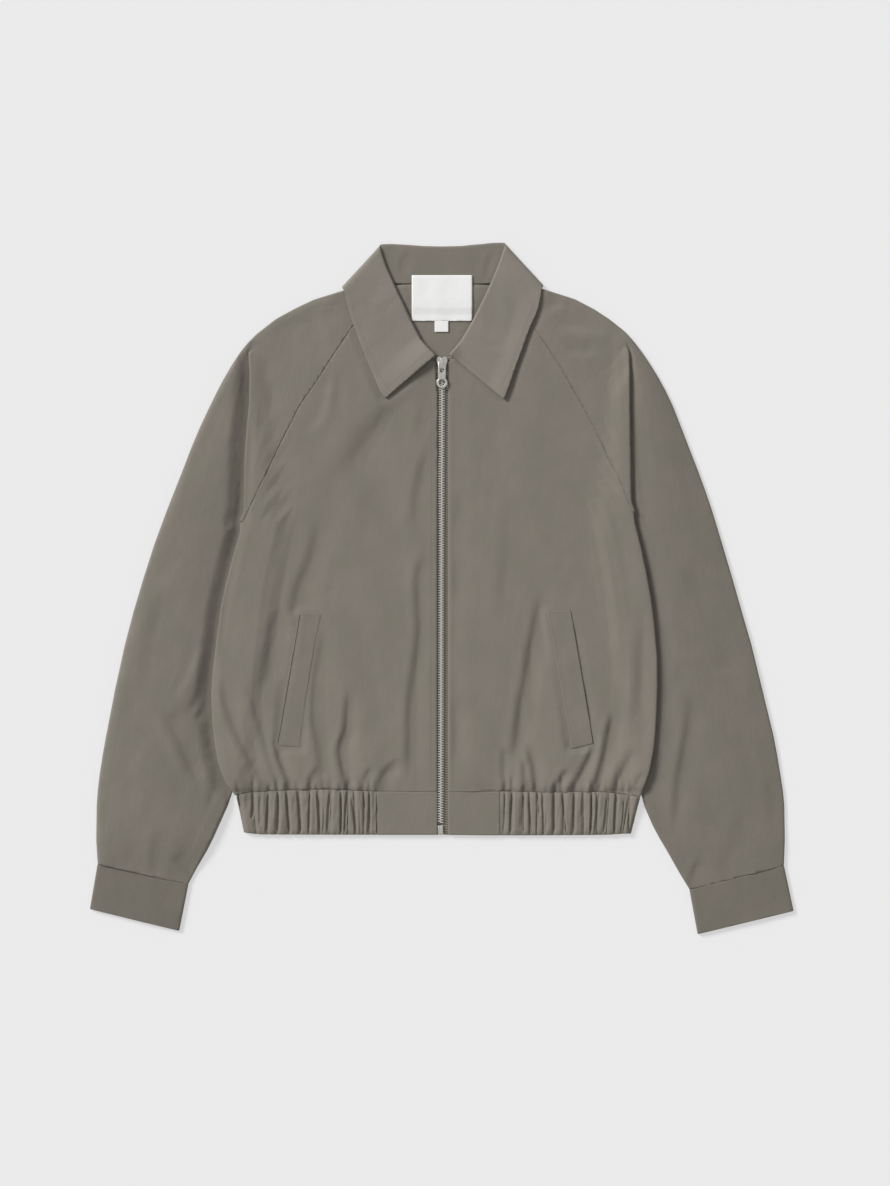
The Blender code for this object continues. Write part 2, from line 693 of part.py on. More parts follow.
def sleeve(side):
    """The sleeve, with the pleat that the body folds into it from the shoulder to the underarm."""
    sections = [sleeve_section(side, station) for station in SLEEVE_STATIONS]
    last_pleated = SLEEVE_STATIONS.index(UNDERARM_ROW)
    tuck_start = len(TOP_POINTS) + len(ARC_POINTS) - 1
    tuck_end = tuck_start + len(TUCK_POINTS) + len(ARC_POINTS)

    def place(column, row):
        out, y, z = sections[row][column]
        return side.sign * out, y, z

    def keep(column, row):
        if column >= tuck_end or row < last_pleated:
            return True
        return column >= tuck_start and row > last_pleated

    bm = grid(len(sections[0]), len(sections), place, keep)
    return sheet("sleeve_" + side.name, bm, CLOTH, SHELL)


# --- cuffs and hem band ------------------------------------------------------------------------

CUFF_FRONT = (0, 0.2, 0.4, 0.6, 0.8, 1.0)
CUFF_BACK = (1.0, 0.66, 0.33, 0)


def cuff(side):
    """A plain cuff: a flattened tube."""
    low_z = BAND / 2
    section = []
    for part in CUFF_FRONT:
        section.append((part, 0, low_z + 2 * FOLD_R + 0.7 * math.sin(math.pi * part)))
    for share in ARC_POINTS[:-1]:
        angle = math.pi * share
        section.append((1.0, math.sin(angle), low_z + FOLD_R * (1 + math.cos(angle))))
    for part in CUFF_BACK:
        section.append((part, 0, low_z))
    for share in ARC_POINTS[:-1]:
        angle = math.pi * (1 - share)
        section.append((0, -math.sin(angle), low_z + FOLD_R * (1 + math.cos(angle))))
    stops = (0, 0.35, 0.7, 1.0)

    def place(column, row):
        part, bulge, z = section[column]
        ends = [mix(a, b, stops[row]) for a, b in zip(side.cuff_top, side.cuff_low)]
        outer_out, outer_y, inner_out, inner_y = ends
        width = math.hypot(outer_out - inner_out, outer_y - inner_y)
        s = mix(FOLD_R, width - FOLD_R, part) + bulge * FOLD_R
        out = mix(inner_out, outer_out, s / width)
        y = mix(inner_y, outer_y, s / width)
        return side.sign * out, y, z

    bm = grid(len(section), len(stops), place, loop=True)
    return sheet("cuff_" + side.name, bm, BAND, SHELL)


def band_columns():
    """The columns of the gathered band, from the right end round the back to the left end.

    Each is (side, out at the top, out at the bottom, height of the wall above the floor layer).
    """
    columns = []
    for side in (RIGHT, LEFT):
        run = []
        for first, second in zip(side.gathers, side.gathers[1:]):
            shape = ((0, 0.0), (0.3, 0.9), (0.7, 1.0))
            if first is side.gathers[0]:
                shape = ((0, 0.5), (0.35, 0.5), (0.7, 0.8))
            for part, rise in shape:
                run.append((
                    side,
                    mix(first.out_top, second.out_top, part),
                    mix(first.out_low, second.out_low, part),
                    LAYER + rise * GATHER_RISE,
                ))
        last = side.gathers[-1]
        run.append((side, last.out_top, last.out_low, LAYER))
        end_top = side.hem_end(side.hem_corner_y)
        end_low = side.hem_end(-257)
        for share in ARC_POINTS:
            angle = math.pi * share
            bulge = FOLD_R * (math.sin(angle) - 1)
            run.append((side, end_top + bulge, end_low + bulge, FOLD_R * (1 + math.cos(angle))))
        for part in (0.97, 0.94, 0.9, 0.86, 0.7, 0.35):
            run.append((side, end_top * part, end_low * part, 0.0))
        columns.append(run)
    right, left = columns
    return right + [(LEFT, 0.0, 0.0, 0.0)] + left[::-1]


def band_elastic():
    """The gathered band, from one plain end round the back to the other."""
    columns = band_columns()
    stops = (0, 0.25, 0.55, 0.82, 1.0)

    def place(column, row):
        side, out_top, out_low, height = columns[column]
        out = mix(out_top, out_low, stops[row])
        top = side.hem_top(out_top) if height > 0 else side.hem_back(out_top)
        y = mix(top - SEAM, side.hem_low(out_low), stops[row])
        puff = 0.0
        if height > LAYER:
            puff = 0.35 * math.sin(math.pi * stops[row])
        return side.sign * out, y, BAND / 2 + height + puff + arm_lift(side, out, y)

    bm = grid(len(columns), len(stops), place)
    return sheet("band_elastic", bm, BAND, SHELL)


def band_end(side):
    """The plain end of the band beside the zip."""
    inner = side.zip_out(-240)
    outer = side.gathers[0].out_top - 2 * SEAM
    steps = 4

    def place(column, row):
        out = mix(inner, outer, column / steps)
        y = mix(side.hem_top(out) - SEAM, side.hem_low(out), row / 2)
        return side.sign * out, y, BAND / 2 + LAYER + 0.8

    return sheet("band_end_" + side.name, grid(steps + 1, 3, place), BAND, SHELL)


# --- collar ------------------------------------------------------------------------------------

# turn: 90 where the fall lies on the body, -90 where it lies behind the neck.
COLLAR_ROWS_RIGHT = (
    CollarRow(8, None, 6.5, 244.5, 58.5, 200, 90),
    CollarRow(17, None, 15, 252.5, 60.5, 201.5, 90),
    CollarRow(25, None, 22.5, 261, 64, 206.5, 90),
    CollarRow(37.5, None, 33, 281, 72, 225.5, 90),
    CollarRow(48, None, 41.5, 300, 80.5, 245.5, 90),
    CollarRow(53, None, 46, 309, 84, 255, 90),
    CollarRow(57.0, 315.2, 50, 318, 87.5, 264.5, 90),
    CollarRow(58.8, 320, 54, 327, 92, 276, 90),
    CollarRow(60.9, 325, 58.5, 337, 96, 288, 90),
    CollarRow(62.8, 330, 62, 347, 99.5, 301, 90),
    CollarRow(63.8, 332.5, 64, 353, 101.3, 310.5, 90),
    CollarRow(64.3, 334, 64.8, 355.5, 102.8, 313.6, 60),
    CollarRow(64.4, 335.0, 65.2, 357, 103.6, 315.4, 20),
    CollarRow(64.2, 335.6, 65, 358.2, 103.6, 316.2, -20),
    CollarRow(63.4, 335.2, 64, 359.6, 102, 316.5, -60),
    CollarRow(61.8, 332.8, 62, 360.4, 98, 315, -90),
    CollarRow(54, 320.6, 52, 360.6, 79, 309, -90),
    CollarRow(40, 320.0, 40, 360, 60, 304.5, -90),
    CollarRow(20, 320.0, 20, 358.5, 30, 301, -90),
)
COLLAR_ROWS_LEFT = (
    CollarRow(11, None, 9, 245.5, 64.5, 199, 90),
    CollarRow(18, None, 16, 253.5, 66.5, 201.5, 90),
    CollarRow(24, None, 22, 261, 70.5, 212, 90),
    CollarRow(36.5, None, 32, 278, 77, 231.5, 90),
    CollarRow(47.5, None, 42, 298, 84.5, 251.5, 90),
    CollarRow(52.5, None, 46.5, 307, 88, 262, 90),
    CollarRow(57.2, 315.4, 51, 317, 93, 275, 90),
    CollarRow(59.2, 320, 55, 326, 97.5, 284.5, 90),
    CollarRow(61.4, 325.5, 59.5, 337, 101, 294, 90),
    CollarRow(63.4, 330.5, 63, 347, 103.3, 304.5, 90),
    CollarRow(64.7, 333.5, 65.8, 354.5, 104.2, 312, 90),
    CollarRow(65.3, 335, 66.8, 357, 105.4, 315.2, 60),
    CollarRow(65.4, 336, 67.4, 358.8, 106.2, 317, 20),
    CollarRow(65.2, 336.6, 67.3, 360, 106.2, 317.8, -20),
    CollarRow(64.3, 336.2, 66.3, 361.2, 104.6, 318, -60),
    CollarRow(62.6, 333.8, 64.3, 362, 100, 316.5, -90),
    CollarRow(54.5, 320.6, 53, 361.8, 80, 309.5, -90),
    CollarRow(40, 320.0, 41, 360.5, 62, 305, -90),
    CollarRow(20, 320.0, 20, 358.5, 30, 301, -90),
)
COLLAR_MIDDLE = CollarRow(0.0, 320.0, 0, 358, 0, BACK_FALL_Y, -90)
STAND_POINTS = (0, 0.5, 1.0)
FALL_POINTS = (0.0, 0.3, 0.62, 0.93, 1.0)
ON_BODY = CLOTH / 2 + COLLAR / 2 + 0.6
ROLL_POINT = 3.2       # how far the collar's upper corner takes to turn


def collar_section(side, row):
    """The points of one section: the stand from the neck seam, the roll and the fall."""
    neck = (row.neck_out, row.neck_y)
    if row.neck_y is None:
        neck = (row.neck_out - 0.25, side.neck(row.neck_out) + 0.25)
    roll = (row.roll_out, row.roll_y)
    edge = (row.edge_out, row.edge_y)
    up = math.sin(math.radians(row.turn))
    part_up = (up + 1) / 2
    low = FLOOR_Z + COLLAR_LIFT
    if row.neck_y is None:
        high = body_top(side, *neck, pleat=0)
    else:
        high = low + LAYER
    stand_z = mix(low, high, part_up)
    radius = mix((low - COLLAR / 2) / 2, ON_BODY / 2, part_up)
    reach = mix(radius, ROLL_POINT, math.cos(math.radians(row.turn)))
    stand_way = unit(roll, neck)
    fall_way = unit(roll, edge)
    points = []
    for part in STAND_POINTS:
        near = (roll[0] + stand_way[0] * reach, roll[1] + stand_way[1] * reach)
        points.append((mix(neck[0], near[0], part), mix(neck[1], near[1], part), stand_z))
    points.append((*roll, stand_z + radius * up))
    start_z = stand_z + 2 * radius * up
    fall_start = (roll[0] + fall_way[0] * reach, roll[1] + fall_way[1] * reach)
    for part in FALL_POINTS:
        out = mix(fall_start[0], edge[0], part)
        y = mix(fall_start[1], edge[1], part)
        lying = COLLAR / 2
        if row.turn == 90:
            lying = max(body_top(side, out, y, pleat=0) + ON_BODY, mix(start_z, 0, part))
        elif row.turn > -90:
            lying = mix(start_z, mix(COLLAR / 2, high + ON_BODY, part_up), ramp(part, 0, 0.5))
        points.append((out, y, lying))
    return points


def unit(start, end):
    length = math.hypot(end[0] - start[0], end[1] - start[1])
    return (end[0] - start[0]) / length, (end[1] - start[1]) / length


def collar():
    """The shirt collar, from one point round behind the neck to the other."""
    sections = []
    back_and_left = (COLLAR_MIDDLE,) + COLLAR_ROWS_LEFT[::-1]
    for side, rows in ((RIGHT, COLLAR_ROWS_RIGHT), (LEFT, back_and_left)):
        for row in rows:
            sections.append([(side.sign * out, y, z) for out, y, z in collar_section(side, row)])

    def place(column, row):
        return sections[row][column]

    bm = grid(len(sections[0]), len(sections), place)
    made = sheet("collar", bm, COLLAR, COLLAR_CLOTH)
    made.modifiers["wall"].thickness_clamp = 1.0
    return made


# --- pockets and labels ------------------------------------------------------------------------

Welt = namedtuple("Welt", "outer_out inner_out outer_y inner_y")
WELT_RIGHT = (
    Welt(148, 126.5, -25.5, -27.5),
    Welt(156, 133.5, -64.5, -59),
    Welt(165.5, 143.5, -115, -120),
    Welt(171.5, 148.5, -164, -166),
)
WELT_LEFT = (
    Welt(135, 111, -22.5, -24.5),
    Welt(145, 119.5, -75, -70),
    Welt(152, 128.5, -119, -119),
    Welt(158.5, 136, -162, -167.5),
)
WELT_GAP = 0.45


def welt(side, rows, panel):
    """A pocket welt that lies on the front, made from the front's own upper face."""
    height = surface_above(panel)
    steps = 5
    fine = 3
    long = (len(rows) - 1) * fine

    def place(column, row):
        low = min(row // fine, len(rows) - 2)
        part = row / fine - low
        spec = Welt(*(mix(a, b, part) for a, b in zip(rows[low], rows[low + 1])))
        out = mix(spec.inner_out, spec.outer_out, column / steps)
        y = mix(spec.inner_y, spec.outer_y, column / steps)
        x = side.sign * out
        return x, y, height(x, y) + WELT_GAP + CLOTH / 2

    return sheet("pocket_welt_" + side.name, grid(steps + 1, long + 1, place), CLOTH, SHELL)


def flat_label(name, x_low, x_high, y_low, y_high, look, columns=5, rows=8):
    """A label that lies on the back of the neck."""

    def place(column, row):
        x = mix(x_low, x_high, column / (columns - 1))
        y = mix(y_high, y_low, row / (rows - 1))
        return x, y, body_low(LEFT, abs(x), y) + COLLAR / 2 + 0.4 + TAPE / 2

    return sheet(name, grid(columns, rows, place), TAPE, look)


# --- zip ---------------------------------------------------------------------------------------

def chain_x(y):
    """The zip leans a little, from the slider down to the hem."""
    return mix(0.5, -1.0, (210 - y) / (210 + 257.5))


def tape(side):
    """A zip tape, under the edge of the front."""
    stops = (ZIP_TOP, 120, 0, -120, -205, ZIP_END)

    def place(column, row):
        y = stops[row]
        start = chain_x(y) + side.sign * CHAIN_GAP
        return start + side.sign * TAPE_WIDTH * column / 2, y, TAPE_Z

    return sheet("zip_tape_" + side.name, grid(3, len(stops), place), TAPE, TAPE_CLOTH)


def prism(name, outline, low, high, look, bevel=0.0):
    """A flat outline in x and y, raised from low to high."""
    bm = bmesh.new()
    ring = [bm.verts.new(spot_of(x, y, low)) for x, y in outline]
    face = bm.faces.new(ring)
    raised = bmesh.ops.extrude_face_region(bm, geom=[face])
    tops = [item for item in raised["geom"] if isinstance(item, bmesh.types.BMVert)]
    bmesh.ops.translate(bm, verts=tops, vec=(0, 0, (high - low) * MM))
    made = new_object(name, bm, look)
    if bevel:
        rounding = made.modifiers.new("edges", "BEVEL")
        rounding.width = bevel * MM
        rounding.segments = 1
    return made


def zip_chain():
    """The closed chain as a plain strip: its teeth mesh along the middle."""
    half = CHAIN_WIDTH / 2
    top, low = SLIDER_LOW - 0.4, -247.4
    outline = [(chain_x(top) - half, top), (chain_x(low) - half, low),
               (chain_x(low) + half, low), (chain_x(top) + half, top)]
    return prism("zip_chain", outline, CHAIN_LOW, CHAIN_HIGH, METAL)


def zip_stop():
    """The box at the foot of the zip."""
    x = chain_x(-252)
    half = 2.7
    outline = [(x - half, -257.3), (x + half, -257.3), (x + half, -247.9), (x - half, -247.9)]
    return prism("zip_stop", outline, CHAIN_LOW, CHAIN_HIGH + 0.3, METAL, bevel=0.4)


def joined(first, *others):
    """The solids as one, by Boolean union, with the helpers put away."""
    for other in others:
        union = first.modifiers.new("join " + other.name, "BOOLEAN")
        union.operation = "UNION"
        union.object = other
        other.hide_render = True
        other.display_type = "WIRE"
        JACKET.objects.unlink(other)
        CUTTERS.objects.link(other)
    return first


def zip_slider():
    """The slider's body, wide at the crown, with the bail that holds the pull."""
    top, low, x = SLIDER_TOP, SLIDER_LOW, SLIDER_X
    half = ((5.4, top - 1.2), (5.9, top - 3.5), (5.6, top - 6), (4.4, top - 9), (4.0, low))
    outline = [(x + out, y) for out, y in half] + [(x - out, y) for out, y in reversed(half)]
    outline += [(x - 2.6, top), (x, top - 1.4), (x + 2.6, top)]
    body = prism("zip_slider", outline, TAPE_Z + TAPE / 2 + 0.3, SLIDER_HIGH, METAL, bevel=0.35)
    arch = ((HINGE_Y + 4.6, SLIDER_HIGH - 1), (HINGE_Y + 4.4, HINGE_Z + 0.6),
            (HINGE_Y + 2.6, HINGE_Z + 2.0), (HINGE_Y - 2.6, HINGE_Z + 2.0),
            (HINGE_Y - 5.6, HINGE_Z + 0.6), (HINGE_Y - 5.8, SLIDER_HIGH - 1),
            (HINGE_Y - 4.4, SLIDER_HIGH - 1), (HINGE_Y - 4.2, HINGE_Z + 0.2),
            (HINGE_Y - 2.0, HINGE_Z + 1.0), (HINGE_Y + 2.0, HINGE_Z + 1.0),
            (HINGE_Y + 3.2, HINGE_Z + 0.2), (HINGE_Y + 3.4, SLIDER_HIGH - 1))
    bm = bmesh.new()
    half_wide = 1.1
    ring = [bm.verts.new(spot_of(x - half_wide, y, z)) for y, z in arch]
    raised = bmesh.ops.extrude_face_region(bm, geom=[bm.faces.new(ring)])
    moved = [item for item in raised["geom"] if isinstance(item, bmesh.types.BMVert)]
    bmesh.ops.translate(bm, verts=moved, vec=(2 * half_wide * MM, 0, 0))
    return joined(body, new_object("slider_bail", bm, METAL))


def zip_pull():
    """The pull tab: a bar in the bail, a slotted stem and a ring at the end."""
    x = SLIDER_X
    ring_y = PULL_END + 5.8
    outline = [(x + 3.9, HINGE_Y + 0.6), (x + 3.9, ring_y + 9)]
    for step in range(13):
        angle = math.radians(50 - step * 280 / 12)
        outline.append((x + 5.8 * math.cos(angle), ring_y + 5.8 * math.sin(angle)))
    outline += [(x - 3.9, ring_y + 9), (x - 3.9, HINGE_Y + 0.6)]
    low = HINGE_Z - PULL_THICK / 2
    high = HINGE_Z + PULL_THICK / 2
    tab = prism("zip_pull", outline, low, high, METAL)
    slot = [(x - 2.3, HINGE_Y - 0.6), (x + 2.3, HINGE_Y - 0.6), (x + 2.3, HINGE_Y - 9.8),
            (x + 1.2, HINGE_Y - 10.8), (x - 1.2, HINGE_Y - 10.8), (x - 2.3, HINGE_Y - 9.8)]
    hole = [(x + 3.6 * math.cos(math.radians(30 * k)), ring_y + 3.6 * math.sin(math.radians(30 * k)))
            for k in range(12)]
    for name, shape in (("pull_slot", slot), ("pull_hole", hole)):
        cutter = prism(name, shape, low - 1, high + 1, METAL)
        cut = tab.modifiers.new(name, "BOOLEAN")
        cut.operation = "DIFFERENCE"
        cut.object = cutter
        cutter.hide_render = True
        cutter.display_type = "WIRE"
        JACKET.objects.unlink(cutter)
        CUTTERS.objects.link(cutter)
    hinge = spot_of(x, HINGE_Y, HINGE_Z)
    for vert in tab.data.vertices:
        vert.co -= hinge
    tab.location = hinge
    return tab


# --- the whole jacket --------------------------------------------------------------------------

SHELL = ((0.188, 0.167, 0.139), 0.82)
COLLAR_CLOTH = ((0.212, 0.188, 0.159), 0.8)
TAPE_CLOTH = ((0.12, 0.107, 0.09), 0.85)
LABEL = ((0.8, 0.8, 0.79), 0.6)
METAL = ((0.62, 0.6, 0.56), 0.32, 1.0)


def clear_scene():
    for made in list(bpy.data.objects):
        bpy.data.objects.remove(made, do_unlink=True)


def collection(name):
    made = bpy.data.collections.new(name)
    bpy.context.scene.collection.children.link(made)
    return made


clear_scene()
JACKET = collection("bomber_jacket")
CUTTERS = collection("cutters")
CUTTERS.hide_render = True

back()
collar()
band_elastic()
for each_side, welt_rows in ((RIGHT, WELT_RIGHT), (LEFT, WELT_LEFT)):
    each_front = front(each_side)
    sleeve(each_side)
    cuff(each_side)
    band_end(each_side)
    welt(each_side, welt_rows, each_front)
    tape(each_side)
zip_chain()
zip_stop()
zip_slider()
zip_pull()
flat_label("neck_label", -31, 32, 281, 328.5, LABEL)
flat_label("size_label", -7, 7, 269.5, 280.6, LABEL, columns=2, rows=3)
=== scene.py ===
"""A zipped bomber jacket laid flat: its cloth, sewing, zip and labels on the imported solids.

Lengths in the tables are millimetres in the frame of the solids. The jacket lies on z = 0 with its
front up, its collar towards +Y and the wearer's left at +X. Each cloth piece starts as a fine copy
of its solid, whose upper face then takes the creases of the garment.
"""
import logging
import math
from dataclasses import dataclass, field
from enum import Enum
from typing import Any, Sequence

import bmesh
import bpy
import numpy as np
from mathutils import Matrix, Vector, noise
from mathutils.bvhtree import BVHTree
from mathutils.kdtree import KDTree


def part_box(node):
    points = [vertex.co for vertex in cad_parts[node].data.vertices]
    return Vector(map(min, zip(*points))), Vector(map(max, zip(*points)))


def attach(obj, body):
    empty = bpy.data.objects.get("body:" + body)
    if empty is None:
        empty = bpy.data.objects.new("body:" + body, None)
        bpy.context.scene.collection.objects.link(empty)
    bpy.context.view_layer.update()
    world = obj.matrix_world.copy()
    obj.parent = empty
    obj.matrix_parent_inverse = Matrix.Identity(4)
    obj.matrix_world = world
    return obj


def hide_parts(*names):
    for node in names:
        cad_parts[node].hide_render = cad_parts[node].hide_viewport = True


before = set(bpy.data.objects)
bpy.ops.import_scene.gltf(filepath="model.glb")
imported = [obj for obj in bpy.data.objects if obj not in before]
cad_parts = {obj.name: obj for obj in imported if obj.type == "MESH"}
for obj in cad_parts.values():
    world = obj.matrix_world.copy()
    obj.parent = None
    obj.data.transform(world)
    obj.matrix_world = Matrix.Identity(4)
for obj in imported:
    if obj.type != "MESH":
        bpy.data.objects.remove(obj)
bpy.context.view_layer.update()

MM = 0.001
JACKET = "jacket"
PULL = "pull_tab"

Point = tuple[float, float]
Point3 = tuple[float, float, float]
Colour = tuple[float, float, float]

log = logging.getLogger("jacket")


class Slot(Enum):
    """The record's material slots."""

    SHELL = "shell"
    COLLAR = "collar_cloth"
    TAPE = "tape"
    METAL = "zip_metal"
    LABEL = "label"


class Held(Enum):
    """How a sheet of cloth is held."""

    LAID = "laid"
    FOLDED = "folded"
    GATHERED = "gathered"


class Side(Enum):
    """The wearer's side, as the sign of x."""

    RIGHT = -1
    LEFT = 1

    @property
    def word(self) -> str:
        """The side's name in lower case."""
        return self.name.lower()


# --- shaders -----------------------------------------------------------------------------------

class Value:
    """A shader socket that takes part in sums, so that maths reads as maths."""

    def __init__(self, graph: "Graph", socket: bpy.types.NodeSocket) -> None:
        """Wraps a socket of the graph."""
        self.graph = graph
        self.socket = socket

    def __add__(self, other: "Value | float") -> "Value":
        """self + other."""
        return self.graph.sum_of("ADD", self, other)

    __radd__ = __add__

    def __sub__(self, other: "Value | float") -> "Value":
        """self - other."""
        return self.graph.sum_of("SUBTRACT", self, other)

    def __rsub__(self, other: float) -> "Value":
        """other - self."""
        return self.graph.sum_of("SUBTRACT", other, self)

    def __mul__(self, other: "Value | float") -> "Value":
        """self * other."""
        return self.graph.sum_of("MULTIPLY", self, other)

    __rmul__ = __mul__

    def sine(self) -> "Value":
        """The sine, in radians."""
        return self.graph.sum_of("SINE", self)


class Graph:
    """A material's node tree and the one method that adds nodes to it."""

    def __init__(self, name: str) -> None:
        """Starts a material with only its Principled shader and output."""
        self.material = bpy.data.materials.new(name)
        self.material.use_nodes = True
        self.tree = self.material.node_tree
        self.shader = self.tree.nodes["Principled BSDF"]

    def add(self, kind: str, settings: dict[str, Any] | None = None,
            values: dict[str | int, Any] | None = None, output: str | int = 0) -> Value:
        """Adds a node.

        Args:
            kind: the node's type.
            settings: its own settings, set before its sockets.
            values: numbers or Values for its input sockets.
            output: the output socket to hand back.

        Returns:
            The output as a Value.
        """
        node = self.tree.nodes.new(kind)
        for key, setting in (settings or {}).items():
            setattr(node, key, setting)
        for key, value in (values or {}).items():
            self.feed(node.inputs[key], value)
        return Value(self, node.outputs[output])

    def feed(self, socket: bpy.types.NodeSocket, value: Any) -> None:
        """Links a Value to the socket, or sets the socket to a number or colour."""
        if isinstance(value, Value):
            self.tree.links.new(value.socket, socket)
        else:
            socket.default_value = value

    def sum_of(self, operation: str, *terms: "Value | float") -> Value:
        """A Math node on one or two terms."""
        return self.add("ShaderNodeMath", {"operation": operation}, dict(enumerate(terms)))

    def place(self) -> Value:
        """The point on the object, in metres."""
        return self.add("ShaderNodeTexCoord", output="Object")

    def part(self, vector: Value, axis: str) -> Value:
        """One of X, Y and Z of a vector."""
        return self.add("ShaderNodeSeparateXYZ", values={0: vector}, output=axis)

    def stretched(self, vector: Value, scale: Point3) -> Value:
        """The vector scaled along each axis."""
        return self.add("ShaderNodeMapping", values={"Vector": vector, "Scale": scale})

    def wave(self, vector: Value, axis: str, pitch: float) -> Value:
        """A wave from -1 to 1 along an axis, with its pitch in millimetres."""
        return (self.part(vector, axis) * (2.0 * math.pi / (pitch * MM))).sine()

    def rise(self, value: Value, low: float, high: float) -> Value:
        """0 at low, 1 at high and a smooth rise between them."""
        return self.add("ShaderNodeMapRange", {"interpolation_type": "SMOOTHSTEP"}, {
            "Value": value, "From Min": low, "From Max": high})

    def noise(self, vector: Value, scale: float, detail: float = 2.0, rough: float = 0.5,
              bend: float = 0.0) -> Value:
        """A noise field, about 0.5 at its middle."""
        return self.add("ShaderNodeTexNoise", {"noise_type": "FBM"}, {
            "Vector": vector, "Scale": scale, "Detail": detail, "Roughness": rough,
            "Distortion": bend}, "Fac")

    def blended(self, part: Value, first: Colour, second: Colour) -> Value:
        """The colour between two colours."""
        return self.add("ShaderNodeMix", {"data_type": "RGBA"}, {
            0: part, 6: (*first, 1.0), 7: (*second, 1.0)}, 2)

    def bump(self, height: Value, depth: float, below: Value | None = None) -> Value:
        """A bump of a height field, whose full swing is depth millimetres."""
        values: dict[str | int, Any] = {"Height": height, "Strength": 1.0, "Distance": depth * MM}
        if below is not None:
            values["Normal"] = below
        return self.add("ShaderNodeBump", None, values, "Normal")

    def finish(self, **sockets: Any) -> bpy.types.Material:
        """Feeds the shader's sockets, named with _ for a space, and hands the material back."""
        for key, value in sockets.items():
            self.feed(self.shader.inputs[key.replace("_", " ")], value)
        return self.material


def tint(colour: Colour, share: float, shift: Colour = (1.0, 1.0, 1.0)) -> Colour:
    """A colour made lighter or darker by a share, and shifted in hue."""
    return tuple(c * share * s for c, s in zip(colour, shift))


@dataclass(frozen=True)
class ClothFinish:
    """A matt, faintly crinkled plain weave.

    Attributes:
        name: the material.
        colour: its colour.
        rough: its roughness.
        crinkle: the swing of its crinkle, in millimetres.
        weave: the swing of its threads, in millimetres.
        pitch: from one thread to the next, in millimetres.
        mottle: how far its shade wanders.
        other: a second colour. The script blends the pair as painted shade: darker arms, and a
            collar stand darker than its leaves.
        turns: where on other_way the second colour starts and is full, in millimetres.
        other_way: the axis, X or Z, along which the second colour comes.
    """

    name: str
    colour: Colour
    rough: float = 0.82
    crinkle: float = 0.3
    weave: float = 0.05
    pitch: float = 0.62
    mottle: float = 0.025
    other: Colour | None = None
    turns: Point = (0.0, 1.0)
    other_way: str = "X"

    # The scales of its patches, specks and slubs, and of its coarse and fine crinkles.
    CLOUD = 26.0
    SPECK = 240.0
    SLUB = (900.0, 60.0, 60.0)
    CRUSH = 60.0
    FINE = 190.0
    # The shade's range that turns from its cooler to its warmer tint.
    SHADES = (0.36, 0.64)

    def make(self) -> bpy.types.Material:
        """The finish as a material."""
        graph = Graph(self.name)
        place = graph.place()
        cloud = graph.noise(place, self.CLOUD, 3.0)
        speck = graph.noise(place, self.SPECK, 2.0)
        slub = graph.noise(graph.stretched(place, self.SLUB), 1.0, 2.0)
        shade = cloud * 0.62 + speck * 0.2 + slub * 0.18
        cool = tint((1.0, 1.0, 1.0), 1.0 - self.mottle, (0.985, 1.01, 0.99))
        warm = tint((1.0, 1.0, 1.0), 1.0 + self.mottle, (1.01, 0.995, 1.012))
        soft = graph.rise(shade, *self.SHADES)
        waves = graph.stretched(place, (1.0, 0.42, 1.0))
        crush = graph.noise(waves, self.CRUSH, 3.0, 0.5, 0.6)
        fine = graph.noise(waves, self.FINE, 3.0, 0.6, 0.8)
        warp = graph.wave(place, "X", self.pitch)
        weft = graph.wave(place, "Y", self.pitch)
        dent = graph.bump(crush * 0.45 + fine * 0.55, self.crinkle)
        threads = graph.bump(warp * weft * 0.5 + 0.5, self.weave, dent)
        start, end = (limit * MM for limit in self.turns)
        part = graph.sum_of("ABSOLUTE", graph.part(place, self.other_way))
        # The two colours blend along other_way: the cloth's own colour, and painted shade on the
        # arms and the collar stand.
        colour_and_painted_shade = graph.blended(graph.rise(part, start, end), self.colour, self.other or self.colour)
        return graph.finish(
            Base_Color=graph.add("ShaderNodeMix", {"data_type": "RGBA", "blend_type": "MULTIPLY"},
                                 {0: 1.0, 6: colour_and_painted_shade, 7: graph.blended(soft, cool, warm)}, 2),
            Roughness=self.rough + (speck - 0.5) * 0.12,
            Sheen_Weight=0.12,
            Sheen_Roughness=0.5,
            Specular_IOR_Level=0.3,
            Normal=threads,
        )


@dataclass(frozen=True)
class TapeFinish:
    """The zip tape's close ribs, which run across the zip, with painted shade in their grooves and
    painted light on their crests.
    """

    name: str
    colour: Colour
    pitch: float = 2.6
    pick_pitch: float = 0.8

    def make(self) -> bpy.types.Material:
        """The finish as a material."""
        graph = Graph(self.name)
        place = graph.place()
        rib = graph.wave(place, "Y", self.pitch) * 0.5 + 0.5
        pick = graph.wave(place, "X", self.pick_pitch) * 0.5 + 0.5
        # shade is the ribs' height: the bump follows it, and so does the colour, as painted shade
        # in the grooves and painted light on the crests.
        shade = rib * 0.7 + pick * 0.3
        return graph.finish(
            Base_Color=graph.blended(shade, tint(self.colour, 0.45), tint(self.colour, 1.5)),
            Roughness=0.9 - rib * 0.1,
            Specular_IOR_Level=0.25,
            Normal=graph.bump(shade, 0.22),
        )


@dataclass(frozen=True)
class LabelFinish:
    """A white woven label with a fine satin weave."""

    name: str
    colour: Colour
    pitch: float = 0.42
    end_pitch: float = 0.3

    def make(self) -> bpy.types.Material:
        """The finish as a material."""
        graph = Graph(self.name)
        place = graph.place()
        pick = graph.wave(place, "Y", self.pitch) * 0.5 + 0.5
        end = graph.wave(place, "X", self.end_pitch) * 0.5 + 0.5
        cloud = graph.noise(place, 120.0, 3.0)
        weave = pick * 0.7 + end * 0.3
        shade = weave * 0.6 + cloud * 0.4
        return graph.finish(
            Base_Color=graph.blended(shade, tint(self.colour, 0.94), self.colour),
            Roughness=0.56 + cloud * 0.12,
            Sheen_Weight=0.15,
            Normal=graph.bump(cloud, 0.3, graph.bump(weave, 0.05)),
        )


